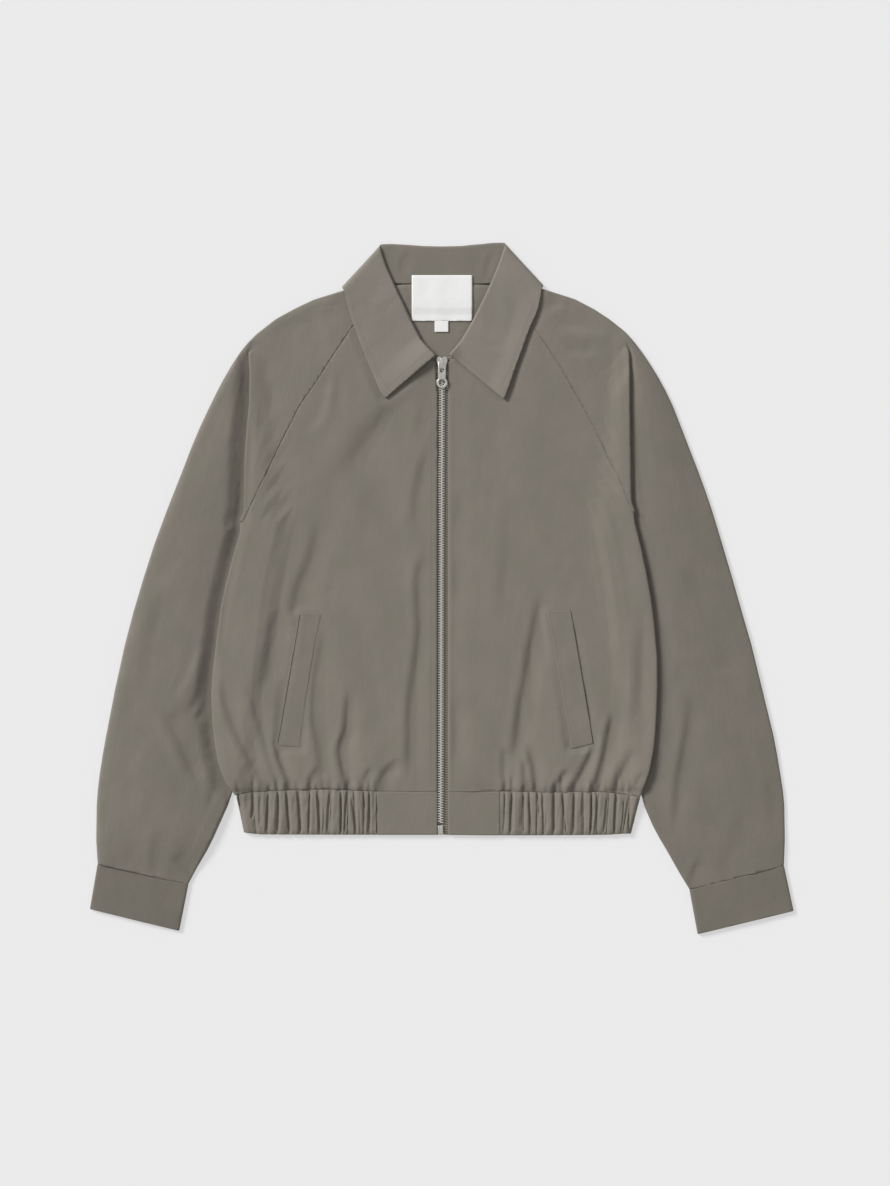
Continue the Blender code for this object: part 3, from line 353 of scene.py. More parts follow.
@dataclass(frozen=True)
class MetalFinish:
    """Brushed white metal, a little worn."""

    name: str
    colour: Colour
    rough: float = 0.3
    metallic: float = 1.0

    def make(self) -> bpy.types.Material:
        """The finish as a material."""
        graph = Graph(self.name)
        place = graph.place()
        wear = graph.noise(place, 700.0, 3.0, 0.6)
        brush = graph.noise(graph.stretched(place, (9000.0, 700.0, 700.0)), 1.0, 2.0)
        return graph.finish(
            Base_Color=graph.blended(wear, tint(self.colour, 0.8), self.colour),
            Metallic=self.metallic,
            Roughness=self.rough + (wear - 0.5) * 0.2 + (brush - 0.5) * 0.08,
            Normal=graph.bump(brush * 0.4 + wear * 0.6, 0.02),
        )


@dataclass(frozen=True)
class ThreadFinish:
    """Sewing thread in the colour of the cloth, and in near black the beads of painted shadow in
    the pocket mouths and along the raglan seam.
    """

    name: str
    colour: Colour

    def make(self) -> bpy.types.Material:
        """The finish as a material."""
        graph = Graph(self.name)
        twist = graph.noise(graph.place(), 3000.0, 1.0)
        return graph.finish(
            Base_Color=graph.blended(twist, tint(self.colour, 0.9), tint(self.colour, 1.1)),
            Roughness=0.7, Sheen_Weight=0.2, Normal=graph.bump(twist, 0.03))


# --- creases -----------------------------------------------------------------------------------

FAR_AWAY = 1e9


def smooth(value: np.ndarray, low: float, high: float) -> np.ndarray:
    """0 at low, 1 at high and a smooth rise between them."""
    part = np.clip((value - low) / (high - low), 0.0, 1.0)
    return part * part * (3.0 - 2.0 * part)


def mix(first: float, second: float, part: float) -> float:
    """The value between two values."""
    return first + (second - first) * part


def marks_of(ends: np.ndarray) -> np.ndarray:
    """How far along a line each of its points lies."""
    return np.concatenate([[0.0], np.cumsum(np.hypot(*np.diff(ends, axis=0).T))])


def along_line(line: Sequence[Point], spots: np.ndarray) -> tuple[np.ndarray, np.ndarray]:
    """Where spots lie beside a line.

    Args:
        line: the line's points.
        spots: the spots (x, y).

    Returns:
        Each spot's distance, above 0 to the right of the run, and its share of the run.
    """
    ends = np.array(line, float)
    runs = np.diff(ends, axis=0)
    lengths = np.hypot(*runs.T)
    before = marks_of(ends)
    away = np.full(len(spots), FAR_AWAY)
    place = np.zeros(len(spots))
    for start, run, length, gone in zip(ends, runs, lengths, before):
        way = run / length
        offset = spots - start
        along = np.clip(offset @ way, 0.0, length)
        across = offset[:, 0] * way[1] - offset[:, 1] * way[0]
        gap = np.hypot(*(offset - along[:, None] * way).T)
        nearer = gap < np.abs(away)
        away = np.where(nearer, np.where(across < 0, -gap, gap), away)
        place = np.where(nearer, (gone + along) / before[-1], place)
    return away, place


def rounded(line: Sequence[Point]) -> np.ndarray:
    """The line with its corners cut off twice."""
    ends = np.array(line, float)
    for _ in range(2):
        cuts = np.stack([ends[:-1] * 0.75 + ends[1:] * 0.25,
                         ends[:-1] * 0.25 + ends[1:] * 0.75], 1)
        ends = np.concatenate([ends[:1], cuts.reshape(-1, 2), ends[-1:]])
    return ends


@dataclass(frozen=True)
class Crease:
    """A listed crease, steep on the right of its run and slow on the left.

    Attributes:
        points: where it runs.
        width: the width of its steep side.
        depth: how deep it goes. Below 0 it is a ridge.
        rise: share of its run over which it starts.
        fall: share of its run over which it ends, or 0 to keep its depth.
        slow: how much wider its slow side is.
        swell: share of its depth by which the cloth beside the steep side stands up.
    """

    points: tuple[Point, ...]
    width: float
    depth: float
    rise: float = 0.35
    fall: float = 0.35
    slow: float = 2.3
    swell: float = 0.3

    # In widths: how far the crease reaches, its narrowest reach and where its swell stands.
    REACH = 2.6
    LEAST_SLOW = 1.5
    SWELL_AT = 1.8

    def height(self, spots: np.ndarray) -> np.ndarray:
        """The crease's height at each of the spots (x, y)."""
        line = rounded(self.points)
        reach = self.REACH * self.width * max(self.slow, self.LEAST_SLOW)
        near = ((spots > line.min(axis=0) - reach)
                & (spots < line.max(axis=0) + reach)).all(axis=1)
        away, place = along_line(line, spots[near])
        fade = smooth(place, 0.0, self.rise)
        if self.fall:
            fade = fade * smooth(1.0 - place, 0.0, self.fall)
        t = away / np.where(away > 0, self.width, self.width * self.slow)
        found = np.zeros(len(spots))
        found[near] = self.depth * fade * (
            self.swell * np.exp(-((t - self.SWELL_AT) ** 2)) - np.exp(-t * t))
        return found


def creases(*rows: tuple[Any, ...]) -> tuple[Crease, ...]:
    """A crease for each row, which holds its fields in order."""
    return tuple(Crease(*row) for row in rows)


@dataclass(frozen=True)
class Lift:
    """Cloth that stands up along a line and sinks back beside it.

    Attributes:
        points: the line, as (x, y, height).
        reach: how far from the line it sinks to nothing.
    """

    points: tuple[Point3, ...]
    reach: float

    def height(self, spots: np.ndarray) -> np.ndarray:
        """The lift at each of the spots (x, y)."""
        line = [point[:2] for point in self.points]
        away, place = along_line(line, spots)
        marks = marks_of(np.array(line, float))
        crest = np.interp(place, marks / marks[-1], [point[2] for point in self.points])
        return crest * (1.0 - smooth(np.abs(away), 0.0, self.reach))


@dataclass(frozen=True)
class Puff:
    """Cloth that swells over a stretch of the garment.

    Attributes:
        swing: how far it swells.
        rows: y where it starts, is full, starts to sink and ends.
        columns: distance from the middle line where it starts and is full.
    """

    swing: float
    rows: tuple[float, float, float, float]
    columns: Point = (-2.0, -1.0)

    def height(self, spots: np.ndarray) -> np.ndarray:
        """The swell at each of the spots (x, y)."""
        x, y = spots.T
        return (self.swing * smooth(y, *self.rows[:2]) * (1.0 - smooth(y, *self.rows[2:]))
                * smooth(np.abs(x), *self.columns))


FRONT_CREASES = creases(
    # The wearer's right: the chest diagonal, the pocket's crease and the zip's.
    (((-12, 212), (-45, 186), (-72, 158), (-95, 126), (-114, 96), (-122, 66)), 13, 2.1, 0.3, 0.5),
    (((-126, 84), (-128, 60), (-134, 25), (-147, 2), (-151, -22)), 6.5, 2.4, 0.5, 0),
    (((-10, 150), (-20, 115), (-26, 80), (-22, 50)), 6, 1.4),
    (((-14, 38), (-23, 18), (-23, -15), (-20, -45), (-26, -85), (-32, -125), (-32, -170), (-33,
     -206)), 5, 1.7, 0.1, 0.15),
    (((-160, -15), (-175, -38), (-178, -65), (-181, -92), (-191, -115)), 5.5, 1.8),
    (((-228, -85), (-226, -115), (-216, -145), (-205, -168), (-193, -190), (-184, -209)), 5, 2.3,
     0.3, 0),
    (((-166, -140), (-172, -165), (-168, -182), (-160, -200), (-158, -213)), 3.6, 3.0, 0.25, 0),
    (((-120, -30), (-127, -60), (-133, -100), (-134, -138), (-127, -160), (-124, -190), (-122,
     -211)), 5, 1.7, 0.3, 0),
    (((-97, -95), (-97, -130), (-98, -150), (-106, -166), (-104, -184), (-99, -200), (-98, -212)),
     4.2, 2.6, 0.4, 0),
    (((-40, -178), (-55, -190), (-68, -209)), 4, 1.4, 0.4, 0),
    (((-70, -186), (-78, -196), (-82, -211)), 3.5, 1.4, 0.3, 0),
    (((-128, -186), (-134, -196), (-138, -210)), 3.2, 1.6, 0.3, 0),
    (((-108, 40), (-113, 10), (-116, -20)), 9, 0.8),
    (((-158, 165), (-140, 168), (-127, 184), (-122, 212), (-112, 240)), 5, 0.9),
    (((-105, 235), (-108, 210), (-110, 185)), 5, 0.6),
    (((-60, 120), (-75, 80), (-80, 40)), 12, 0.6),
    (((-222, 20), (-227, -40), (-229, -95)), 5, 0.9),
    (((-200, -95), (-198, -112), (-190, -140), (-180, -175), (-170, -209)), 4, 1.1, 0.3, 0),
    # The wearer's left: the long diagonal, the pocket's corner and the hem.
    (((108, 5), (103, -25), (97, -60), (91, -95), (85, -130), (80, -165), (76, -192)), 5.5, 2.3,
     0.25, 0.2),
    (((182, -125), (177, -150), (173, -172), (167, -192), (161, -212)), 4.2, 3.0, 0.3, 0),
    (((161, -160), (155, -180), (146, -196), (137, -211)), 3.8, 2.8, 0.25, 0),
    (((88, -160), (95, -176), (98.5, -192), (98.5, -211)), 3.6, 2.6, 0.4, 0),
    (((66, -162), (67, -185), (67, -211)), 4, 1.5, 0.3, 0),
    (((134, -188), (127, -198), (119, -211)), 3.4, 2.2, 0.3, 0),
    (((205, -165), (195, -186), (186, -201), (181, -213)), 5, 1.8, 0.3, 0),
    (((213, -190), (205, -205), (200, -214)), 3.4, 1.2, 0.3, 0),
    (((86, -178), (88, -195), (87, -212)), 3, 1.7, 0.3, 0),
    (((16, 40), (17, 10), (17, -20)), 4, 0.6),
    (((12, -110), (17, -140), (16, -165), (14, -195)), 5, 1.2),
    (((72, 100), (72, 60), (68, 10), (66, -50)), 8, 0.9),
    (((212, 0), (212, -50), (210, -110), (206, -150)), 6, 1.2),
    (((19, 110), (20, 75), (10, 55)), 5, 0.7),
    (((130, 60), (165, 0), (178, -60)), 12, 0.5),
    (((108, 60), (120, 40), (135, 20)), 7, 0.5),
)
SHOULDER_CREASES = creases(
    (((110, 277), (130, 277), (150, 275), (178, 272)), 6, 1.4),
    (((125, 250), (142, 250), (165, 247)), 5, 1.1),
    (((104, 290), (115, 297), (130, 303)), 5, 0.9),
    (((-118, 282), (-145, 275), (-175, 268)), 9, 0.9),
    (((-188, 262), (-190, 220), (-188, 180), (-192, 145)), 7, 1.4),
    (((-103, 300), (-115, 290), (-128, 280)), 6, 0.8),
)
ARM_CREASES = creases(
    # The wearer's right: the upper arm, then the folds of the bent elbow.
    (((-222, 228), (-232, 200), (-243, 170), (-258, 135), (-268, 105)), 9, 1.7),
    (((-286, 62), (-298, 38), (-305, 10), (-310, -15)), 7, 1.3),
    (((-290, 10), (-292, -20), (-303, -60), (-306, -100), (-300, -125)), 9, 1.4),
    (((-247, -50), (-256, -82), (-267, -106), (-280, -124)), 5, -1.8),
    (((-244, -70), (-249, -100), (-256, -122), (-268, -138)), 6, 2.4, 0.2, 0.3),
    (((-242, -115), (-250, -132), (-262, -141)), 4, 2.2),
    (((-289, -128), (-283, -142), (-273, -158), (-266, -178), (-256, -195), (-244, -206)), 6, 2.6,
     0.15, 0.3),
    (((-290, -150), (-276, -175), (-262, -200)), 6, -1.0),
    (((-235, -195), (-238, -215), (-243, -235)), 5, 1.1),
    (((-303, -205), (-300, -230), (-304, -255)), 7, 0.7),
    (((-352, -180), (-353, -220), (-350, -262)), 6, 1.0),
    (((-322, -200), (-326, -245), (-322, -285)), 8, 0.7, 0.3, 0),
    (((-284, -280), (-270, -290), (-262, -300)), 4, 1.1, 0.4, 0),
    (((-298, -250), (-298, -270), (-300, -296)), 5, 0.8, 0.4, 0),
    # The wearer's left.
    (((262, -105), (262, -140), (256, -172), (250, -200), (248, -232), (244, -262)), 5, 1.7, 0.25,
     0.25),
    (((252, -72), (250, -95), (248, -110)), 5, 0.6),
    (((266, 40), (268, 10), (262, -20)), 10, 0.7),
    (((284, -80), (300, -84), (312, -80)), 5, 0.5),
    (((236, 190), (262, 110), (284, 30)), 12, 0.7),
    (((322, -225), (316, -255), (300, -292)), 9, 0.8, 0.3, 0),
    (((274, -280), (266, -296), (262, -310)), 4, 1.0, 0.4, 0),
    (((345, -180), (350, -225), (348, -270)), 7, 0.6),
)
UNDER_CREASES = creases(
    (((-60, 210), (-84, 120), (-70, 20)), 16, -0.55),
    (((48, 180), (70, 60), (52, -60)), 18, -0.5),
    (((-110, -60), (-98, -140), (-104, -205)), 12, -0.6, 0.4, 0),
    (((90, -90), (104, -150), (98, -205)), 12, -0.55, 0.4, 0),
    (((10, -110), (2, -160), (6, -206)), 10, -0.5, 0.4, 0),
    (((-250, 60), (-276, -40), (-290, -130)), 14, -0.5),
    (((252, 70), (282, -50), (296, -140)), 14, -0.55),
    (((-236, -30), (-262, -60), (-300, -74)), 9, -0.5),
    (((240, -60), (270, -84), (306, -92)), 9, -0.5),
)
# The body's side edges, rolled off on the right and standing on the left: (x, y, height).
SIDE_LIFTS = (
    Lift(((-201, 252, -0.9), (-202, 150, -1.2), (-207, 75, -1.2), (-227, -10, -1.2),
          (-240, -85, -1.2), (-241, -140, -1.1), (-232, -190, -0.7)), 9),
    Lift(((197, 258, 0.8), (196, 150, 1.7), (199, 80, 1.9), (213, 10, 2.0), (225, -80, 2.1),
          (225, -150, 2.1), (215, -200, 1.0)), 20),
)
# The left arm's hollow beside the body.
ARM_HOLLOW = Lift(((207, 250, -0.2), (207, 150, -0.8), (212, 80, -1.0), (225, 10, -1.2),
                   (236, -80, -1.3), (237, -150, -1.3), (228, -200, -0.8)), 16)
# The welts' inner and outer edges, which lie down.
WELT_SINKS = (
    Lift(((-127, -26, -0.75), (-149, -165, -0.75)), 21),
    Lift(((-149, -26, -0.35), (-171, -165, -0.35)), 6),
)
# The body's side edges down to the raglans' ends, as (y, distance from the middle line).
SIDE_EDGES = {
    Side.RIGHT: ((-217, 219), (-165, 238), (-130, 241), (-90, 240), (-50, 235), (-10, 227),
                 (30, 217), (60, 211.5), (72, 211), (100, 207.5), (150, 203.5), (200, 202),
                 (250, 203)),
    Side.LEFT: ((-218, 205), (-180, 221), (-120, 226), (-80, 225.5), (-40, 221), (10, 214),
                (45, 206), (80, 203), (150, 197.5), (248, 197.5)),
}


@dataclass(frozen=True)
class Gather:
    """A fold of the gathered band.

    Attributes:
        top: distance from the middle line at its upper end.
        low: the same at its lower end.
        depth: how deep it goes.
        ends: y of its upper and its lower end.
    """

    top: float
    low: float
    depth: float = 2.6
    ends: Point = (-213.0, -257.5)


GATHERS = {
    Side.RIGHT: (Gather(213, 211, 1.8, (-214, -230)), Gather(198, 199.5, 2.6, (-213, -242)),
                 Gather(181, 184), Gather(172, 172, 3.0), Gather(163, 159, 3.0),
                 Gather(151, 148, 2.6), Gather(138, 139.5, 1.8), Gather(131, 128.5, 2.4),
                 Gather(117, 120, 2.2), Gather(106, 106, 3.2), Gather(99.5, 102, 2.8),
                 Gather(95, 90, 1.8, (-219, -257)), Gather(82, 80, 2.2, (-213, -232)),
                 Gather(76, 77.5, 2.4), Gather(190, 191, 1.2, (-216, -250)),
                 Gather(124, 125, 1.2, (-228, -257)), Gather(86, 85, 1.2, (-230, -257))),
    Side.LEFT: (Gather(66, 64.5, 2.4), Gather(74, 72), Gather(86, 86, 3.0),
                Gather(91, 95, 2.0, (-222, -257)), Gather(100, 102, 1.8, (-213, -238)),
                Gather(118, 118, 2.8), Gather(126, 130.5, 2.6, (-216, -257)),
                Gather(139, 139, 2.8), Gather(157, 156, 3.0), Gather(165, 160, 1.8),
                Gather(173, 169.5, 1.8, (-219, -257)), Gather(183, 181, 2.6),
                Gather(191, 187.5, 1.8, (-221, -257)), Gather(198, 195.5, 2.4),
                Gather(110, 109, 1.2, (-232, -257)), Gather(148, 147, 1.3, (-213, -240))),
}
HEM_TOP = -213.0
# Taken in turn by the gathers: how far each one's crease runs up into the cloth, how far it
# leans aside, and how far the gather itself is bent at its middle.
CREASE_REACHES = (14, 24, 10, 18, 12)
CREASE_LEANS = (1.5, -1.0, 0.5)
GATHER_BENDS = (0.7, -0.6, 0.2, -0.9)
BAND_HEIGHT = 44.0


def gather_creases(side: Side) -> tuple[Crease, ...]:
    """The short creases of one side that run from the band's gathers up into the cloth."""
    made = []
    for number, fold in enumerate(GATHERS[side]):
        reach = CREASE_REACHES[number % len(CREASE_REACHES)]
        lean = CREASE_LEANS[number % len(CREASE_LEANS)]
        slant = (fold.top - fold.low) * reach / BAND_HEIGHT + lean
        run = ((side.value * (fold.top + slant), HEM_TOP + reach), (side.value * fold.top, HEM_TOP))
        made.append(Crease(run, 2.0, 0.55 * fold.depth, 0.7, 0, 1.3))
    return tuple(made)


def band_creases(side: Side) -> tuple[Crease, ...]:
    """The folds of one side of the band, each a little bent."""
    made = []
    for number, fold in enumerate(GATHERS[side]):
        high, low = fold.ends
        bend = mix(fold.top, fold.low, 0.5) + GATHER_BENDS[number % len(GATHER_BENDS)]
        run = tuple((side.value * x, y) for x, y in (
            (fold.top, high), (bend, mix(high, low, 0.5)), (fold.low, low)))
        made.append(Crease(run, 0.75 + 0.2 * (number % 3), 0.8 * fold.depth, 0.12, 0.12,
                           1.2 + 0.5 * (number % 2), 0.15))
    return tuple(made)


@dataclass(frozen=True)
class Ripple:
    """Soft uneven waves of cloth.

    Attributes:
        across: wavelength across the run of the waves.
        along: wavelength along it.
        swing: height from low to high.
        turn: way of the run, in degrees from +Y towards +X.
        seed: where in the noise the field is taken.
    """

    across: float
    along: float
    swing: float
    turn: float = 0.0
    seed: float = 0.0

    def height(self, spots: np.ndarray) -> np.ndarray:
        """The waves' height at each of the spots (x, y)."""
        angle = math.radians(self.turn)
        along = spots[:, 0] * math.sin(angle) + spots[:, 1] * math.cos(angle)
        across = spots[:, 0] * math.cos(angle) - spots[:, 1] * math.sin(angle)
        found = [noise.noise(Vector((a / self.across, b / self.along, self.seed)))
                 for a, b in zip(across, along)]
        return self.swing * np.array(found)


@dataclass(frozen=True)
class Drape:
    """How a face of the cloth rises and falls.

    Attributes:
        forms: its creases, lifts, puffs and ripples.
        lowest: how far it may sink.
        highest: how far it may rise.
    """

    forms: tuple[Crease | Lift | Puff | Ripple, ...]
    lowest: float
    highest: float

    def height(self, spots: np.ndarray) -> np.ndarray:
        """The height at each of the spots (x, y), kept between the lowest and the highest."""
        total = sum(form.height(spots) for form in self.forms)
        return np.where(total < 0, self.lowest * np.tanh(total / self.lowest),
                        self.highest * np.tanh(total / self.highest))


EVERYWHERE = (-900.0, -899.0, 900.0, 901.0)
BODY_DRAPE = Drape(
    FRONT_CREASES + SHOULDER_CREASES + SIDE_LIFTS + gather_creases(Side.RIGHT)
    + gather_creases(Side.LEFT) + (
        Puff(0.7, (-214, -200, 900, 901), (10, 34)),
        Puff(2.2, (-214.5, -208, -198, -150), (56, 74)),
        Ripple(62, 150, 1.3, 8, 1.3), Ripple(27, 60, 0.6, -14, 5.1), Ripple(11, 17, 0.16, 20, 9.7)),
    -1.8, 5.0)
WELT_DRAPE = Drape(WELT_SINKS + (Ripple(16, 40, 0.35, 10, 99.0), Ripple(9, 9, 0.15, 0, 98.0)),
                   -1.0, 0.6)
TAPE_DRAPE = Drape((Puff(0.9, EVERYWHERE),), -0.1, 1.5)
ARM_DRAPES = {
    Side.RIGHT: Drape(ARM_CREASES + (
        Puff(5.8, (-314, -255, 900, 901)), Ripple(46, 130, 1.6, 14, 21.3),
        Ripple(21, 44, 0.75, 30, 25.1), Ripple(9, 14, 0.22, 40, 29.7)), -1.4, 9.0),
    Side.LEFT: Drape(ARM_CREASES + (
        ARM_HOLLOW, Puff(0.9, (-314, -268, 900, 901)), Ripple(46, 130, 1.3, -14, 41.3),
        Ripple(21, 44, 0.6, -30, 45.1), Ripple(9, 14, 0.18, -40, 49.7)), -1.9, 5.0),
}
UNDER_DRAPE = Drape(UNDER_CREASES + (Ripple(60, 110, 0.5, 10, 61.0), Puff(0.2, EVERYWHERE)),
                    -0.01, 0.75)
COLLAR_DRAPE = Drape((
    Crease(((-48, 268), (-70, 246), (-88, 240)), 8, 0.4),
    Crease(((38, 268), (58, 270), (84, 262)), 5, 0.5),
    Crease(((36, 252), (60, 256), (76, 250)), 4, 0.4),
    Crease(((58, 353), (50, 340), (50, 322)), 4, 1.0),
    Crease(((-30, 352), (-42, 342), (-38, 328)), 4, 0.8),
    Crease(((-84, 300), (-62, 322)), 7, 0.4),
    Lift(((-5, 247, 7.2), (-20, 234, 5.8), (-38, 219, 2.6), (-60, 200, 0.3)), 28),
    Lift(((103, 312, 0.4), (101, 298, 1.8), (86, 252, 2.4), (66, 201, 3.0)), 24),
    Lift(((12, 243, 0.6), (40, 220, 0.8), (64, 201, 0.0)), 14),
    Ripple(34, 60, 0.5, 30, 71.0), Ripple(10, 16, 0.1, 0, 75.0)), -0.5, 7.0)
BAND_DRAPE = Drape(
    band_creases(Side.RIGHT) + band_creases(Side.LEFT) + (
        Puff(1.0, (-258, -254, -219, -213.5), (62, 70)),
        Ripple(9, 26, 1.0, 0, 81.0), Ripple(4.2, 14, 0.6, 8, 85.0)), -1.5, 3.0)
CUFF_DRAPE = Drape((Puff(0.3, EVERYWHERE), Ripple(30, 40, 0.6, 70, 91.0),
                    Ripple(9, 14, 0.15, 20, 95.0)), -0.5, 1.2)
SMALL_DRAPE = Drape((Ripple(16, 30, 0.3, 10, 97.0),), -0.2, 0.3)


# --- making pieces -----------------------------------------------------------------------------

def new_piece(name: str, bm: bmesh.types.BMesh, look: bpy.types.Material) -> bpy.types.Object:
    """The bmesh as a shaded-smooth object at the origin."""
    mesh = bpy.data.meshes.new(name)
    bm.to_mesh(mesh)
    bm.free()
    mesh.materials.clear()
    mesh.materials.append(look)
    mesh.shade_smooth()
    made = bpy.data.objects.new(name, mesh)
    bpy.context.scene.collection.objects.link(made)
    return made


def applied(made: bpy.types.Object) -> bpy.types.Object:
    """The object with its modifiers applied."""
    bpy.context.view_layer.update()
    graph = bpy.context.evaluated_depsgraph_get()
    final = bpy.data.meshes.new_from_object(made.evaluated_get(graph))
    made.modifiers.clear()
    made.data = final
    return made


def points_of(mesh: bpy.types.Mesh) -> np.ndarray:
    """The mesh's points, in millimetres."""
    flat = np.empty(len(mesh.vertices) * 3, np.float32)
    mesh.vertices.foreach_get("co", flat)
    return flat.reshape(-1, 3).astype(float) / MM


def put_points(mesh: bpy.types.Mesh, points: np.ndarray) -> None:
    """Sets the mesh's points, given in millimetres."""
    mesh.vertices.foreach_set("co", (points * MM).astype(np.float32).ravel())
    mesh.update()


def tree_of(shapes: Sequence[tuple[Any, bpy.types.Mesh]]) -> BVHTree:
    """The faces of several meshes, each given with its points, for rays to meet."""
    points: list[Vector] = []
    faces: list[tuple[int, ...]] = []
    for spots, mesh in shapes:
        start = len(points)
        points += [Vector(spot) for spot in spots]
        faces += [tuple(start + i for i in face.vertices) for face in mesh.polygons]
    return BVHTree.FromPolygons(points, faces)


MERGE_DISTANCE = 0.02
LEVEL_ANGLE = 0.3


def merged_copy(node: str, flat: float = LEVEL_ANGLE) -> bmesh.types.BMesh:
    """A solid's mesh with its points merged and its level faces joined.

    Args:
        node: the solid.
        flat: how far two faces may turn and still join, in degrees.

    Returns:
        The merged mesh.
    """
    bm = bmesh.new()
    bm.from_mesh(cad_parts[node].data)
    bmesh.ops.remove_doubles(bm, verts=bm.verts, dist=MERGE_DISTANCE * MM)
    bmesh.ops.dissolve_limit(bm, angle_limit=math.radians(flat), verts=bm.verts, edges=bm.edges,
                             use_dissolve_boundaries=False, delimit=set())
    return bm


# A rim's least angle and how far it is pushed out, the nearest that two cuts come, and how far
# two triangles may bend and lean and still make one face.
RIM_ANGLE = math.radians(35)
RIM_SPREAD = 0.2
CUT_DISTANCE = 0.25
JOIN_BEND = math.radians(20)
JOIN_LEAN = math.radians(60)


def fine_copy(name: str, node: str, cell: Point, levels: int, crisp: float,
              look: bpy.types.Material) -> bpy.types.Object:
    """A solid's mesh cut into even cells and rounded by subdivision.

    Args:
        name: the piece.
        node: the solid that it starts from.
        cell: the spacing of the cuts in x and in y.
        levels: how often each cell is halved.
        crisp: how sharp its rims stay, from 0 to 1.
        look: its material.

    Returns:
        The fine piece.
    """
    bm = merged_copy(node)
    low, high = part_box(node)
    for axis in (0, 1):
        way = Vector((1.0 - axis, float(axis), 0.0))
        count = max(1, round((high[axis] - low[axis]) / (cell[axis] * MM)))
        for number in range(1, count):
            spot = way * mix(low[axis], high[axis], number / count)
            bmesh.ops.bisect_plane(bm, geom=bm.verts[:] + bm.edges[:] + bm.faces[:],
                                   dist=CUT_DISTANCE * MM, plane_co=spot, plane_no=way)
    bmesh.ops.remove_doubles(bm, verts=bm.verts, dist=CUT_DISTANCE * MM)
    bmesh.ops.triangulate(bm, faces=[face for face in bm.faces if len(face.verts) > 4])
    bmesh.ops.join_triangles(bm, faces=bm.faces, angle_face_threshold=JOIN_BEND,
                             angle_shape_threshold=JOIN_LEAN)
    rims = bm.edges.layers.float.new("crease_edge")
    for edge in bm.edges:
        if len(edge.link_faces) == 2 and edge.calc_face_angle() > RIM_ANGLE:
            edge[rims] = crisp
    made = new_piece(name, bm, look)
    finer = made.modifiers.new("finer", "SUBSURF")
    finer.levels = finer.render_levels = levels
    made = applied(made)
    normals = np.array([vert.normal[:] for vert in made.data.vertices])
    normals[:, 2] = 0.0
    put_points(made.data, points_of(made.data) + normals * RIM_SPREAD)
    return made


class Cover:
    """Tells which points of a piece lie open, seen from above or from below."""

    # How far a ray starts from its point, to leave the point's own wall, how much further apart
    # the layers count than they are, and how far from a hidden point all stays hidden.
    WALL = 1.6
    LAYERS_APART = 8.0
    LEAST = 2.0

    def __init__(self, nodes: Sequence[str]) -> None:
        """Takes the solids that can hide a point."""
        meshes = [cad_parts[node].data for node in nodes]
        self.tree = tree_of([([vert.co for vert in mesh.vertices], mesh) for mesh in meshes])

    def open_share(self, points: np.ndarray, up: float, fade: float) -> np.ndarray:
        """How open each point is, from 0 where it is hidden to 1 a fade away from what is hidden.

        Args:
            points: the piece's points.
            up: 1 to look from above, -1 from below.
            fade: the distance over which the share rises.

        Returns:
            Each point's share.
        """
        way = Vector((0.0, 0.0, up))
        hidden = np.array([
            self.tree.ray_cast(Vector((x, y, z + self.WALL * up)) * MM, way)[0] is not None
            for x, y, z in points])
        if not hidden.any():
            return np.ones(len(points))
        near = KDTree(int(hidden.sum()))
        for number, (x, y, z) in enumerate(points[hidden]):
            near.insert((x, y, z * self.LAYERS_APART), number)
        near.balance()
        away = np.zeros(len(points))
        for number in np.flatnonzero(~hidden):
            x, y, z = points[number]
            away[number] = near.find((x, y, z * self.LAYERS_APART))[2]
        return smooth(away, self.LEAST, fade)


CLOTH_NODES = tuple(n for n in sorted(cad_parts) if not n.startswith("zip_"))
COVER = Cover(CLOTH_NODES)


@dataclass
class ClothPiece:
    """A piece of cloth that stands for one solid.

    Attributes:
        node: the solid.
        flat: width and length of its cut, in metres. Not used.
        area: the cut's flat area in square metres, or None for a rectangle. Not used.
        held: how it is held. Not used.
        finish: its material.
        slot: the record's slot for it. Not used.
        drape: the creases of its upper face.
        under: the creases of its lower face.
        cell: the spacing of the first cuts in x and in y.
        levels: how often each cell is halved.
        fade: how far from a covered place the creases reach their full height.
        rests_on: what it lies on. Not used.
        crisp: how sharp its rims stay, from 0 to 1.
    """

    node: str
    flat: Point
    area: float | None
    held: Held
    finish: bpy.types.Material
    slot: Slot
    drape: Drape | None = None
    under: Drape | None = None
    cell: Point = (12.0, 12.0)
    levels: int = 2
    fade: float = 13.0
    rests_on: tuple[str, ...] = ("floor",)
    crisp: float = 0.5
    piece: bpy.types.Object | None = field(default=None, init=False)

    # The height up to which a point can belong to the lower face, and where that face's creases
    # start to fade.
    UNDER_HIGH = 1.6
    UNDER_FULL = 1.4

    @property
    def name(self) -> str:
        """The piece's name."""
        return self.node + "_cloth"

    def draped(self, points: np.ndarray) -> np.ndarray:
        """The points with the creases of both faces."""
        rise = np.zeros(len(points))
        if self.drape:
            rise += self.top_height(points) * COVER.open_share(points, 1.0, self.fade)
        if self.under:
            low = points[:, 2] < self.UNDER_HIGH
            dent = np.zeros(len(points))
            share = COVER.open_share(points[low], -1.0, self.fade)
            dent[low] = self.under.height(points[low, :2]) * share
            rise += dent * smooth(-points[:, 2], -self.UNDER_HIGH, -self.UNDER_FULL)
        moved = points.copy()
        moved[:, 2] = np.maximum(points[:, 2] + rise, np.minimum(points[:, 2], 0.0))
        return moved

    def top_height(self, points: np.ndarray) -> np.ndarray:
        """The height of the upper face's creases."""
        return self.drape.height(points[:, :2])

    def build(self) -> None:
        made = fine_copy(self.name, self.node, self.cell, self.levels, self.crisp, self.finish)
        put_points(made.data, self.draped(points_of(made.data)))
        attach(made, JACKET)
        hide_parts(self.node)
        self.piece = made
        log.info("%s: %d points", made.name, len(made.data.vertices))


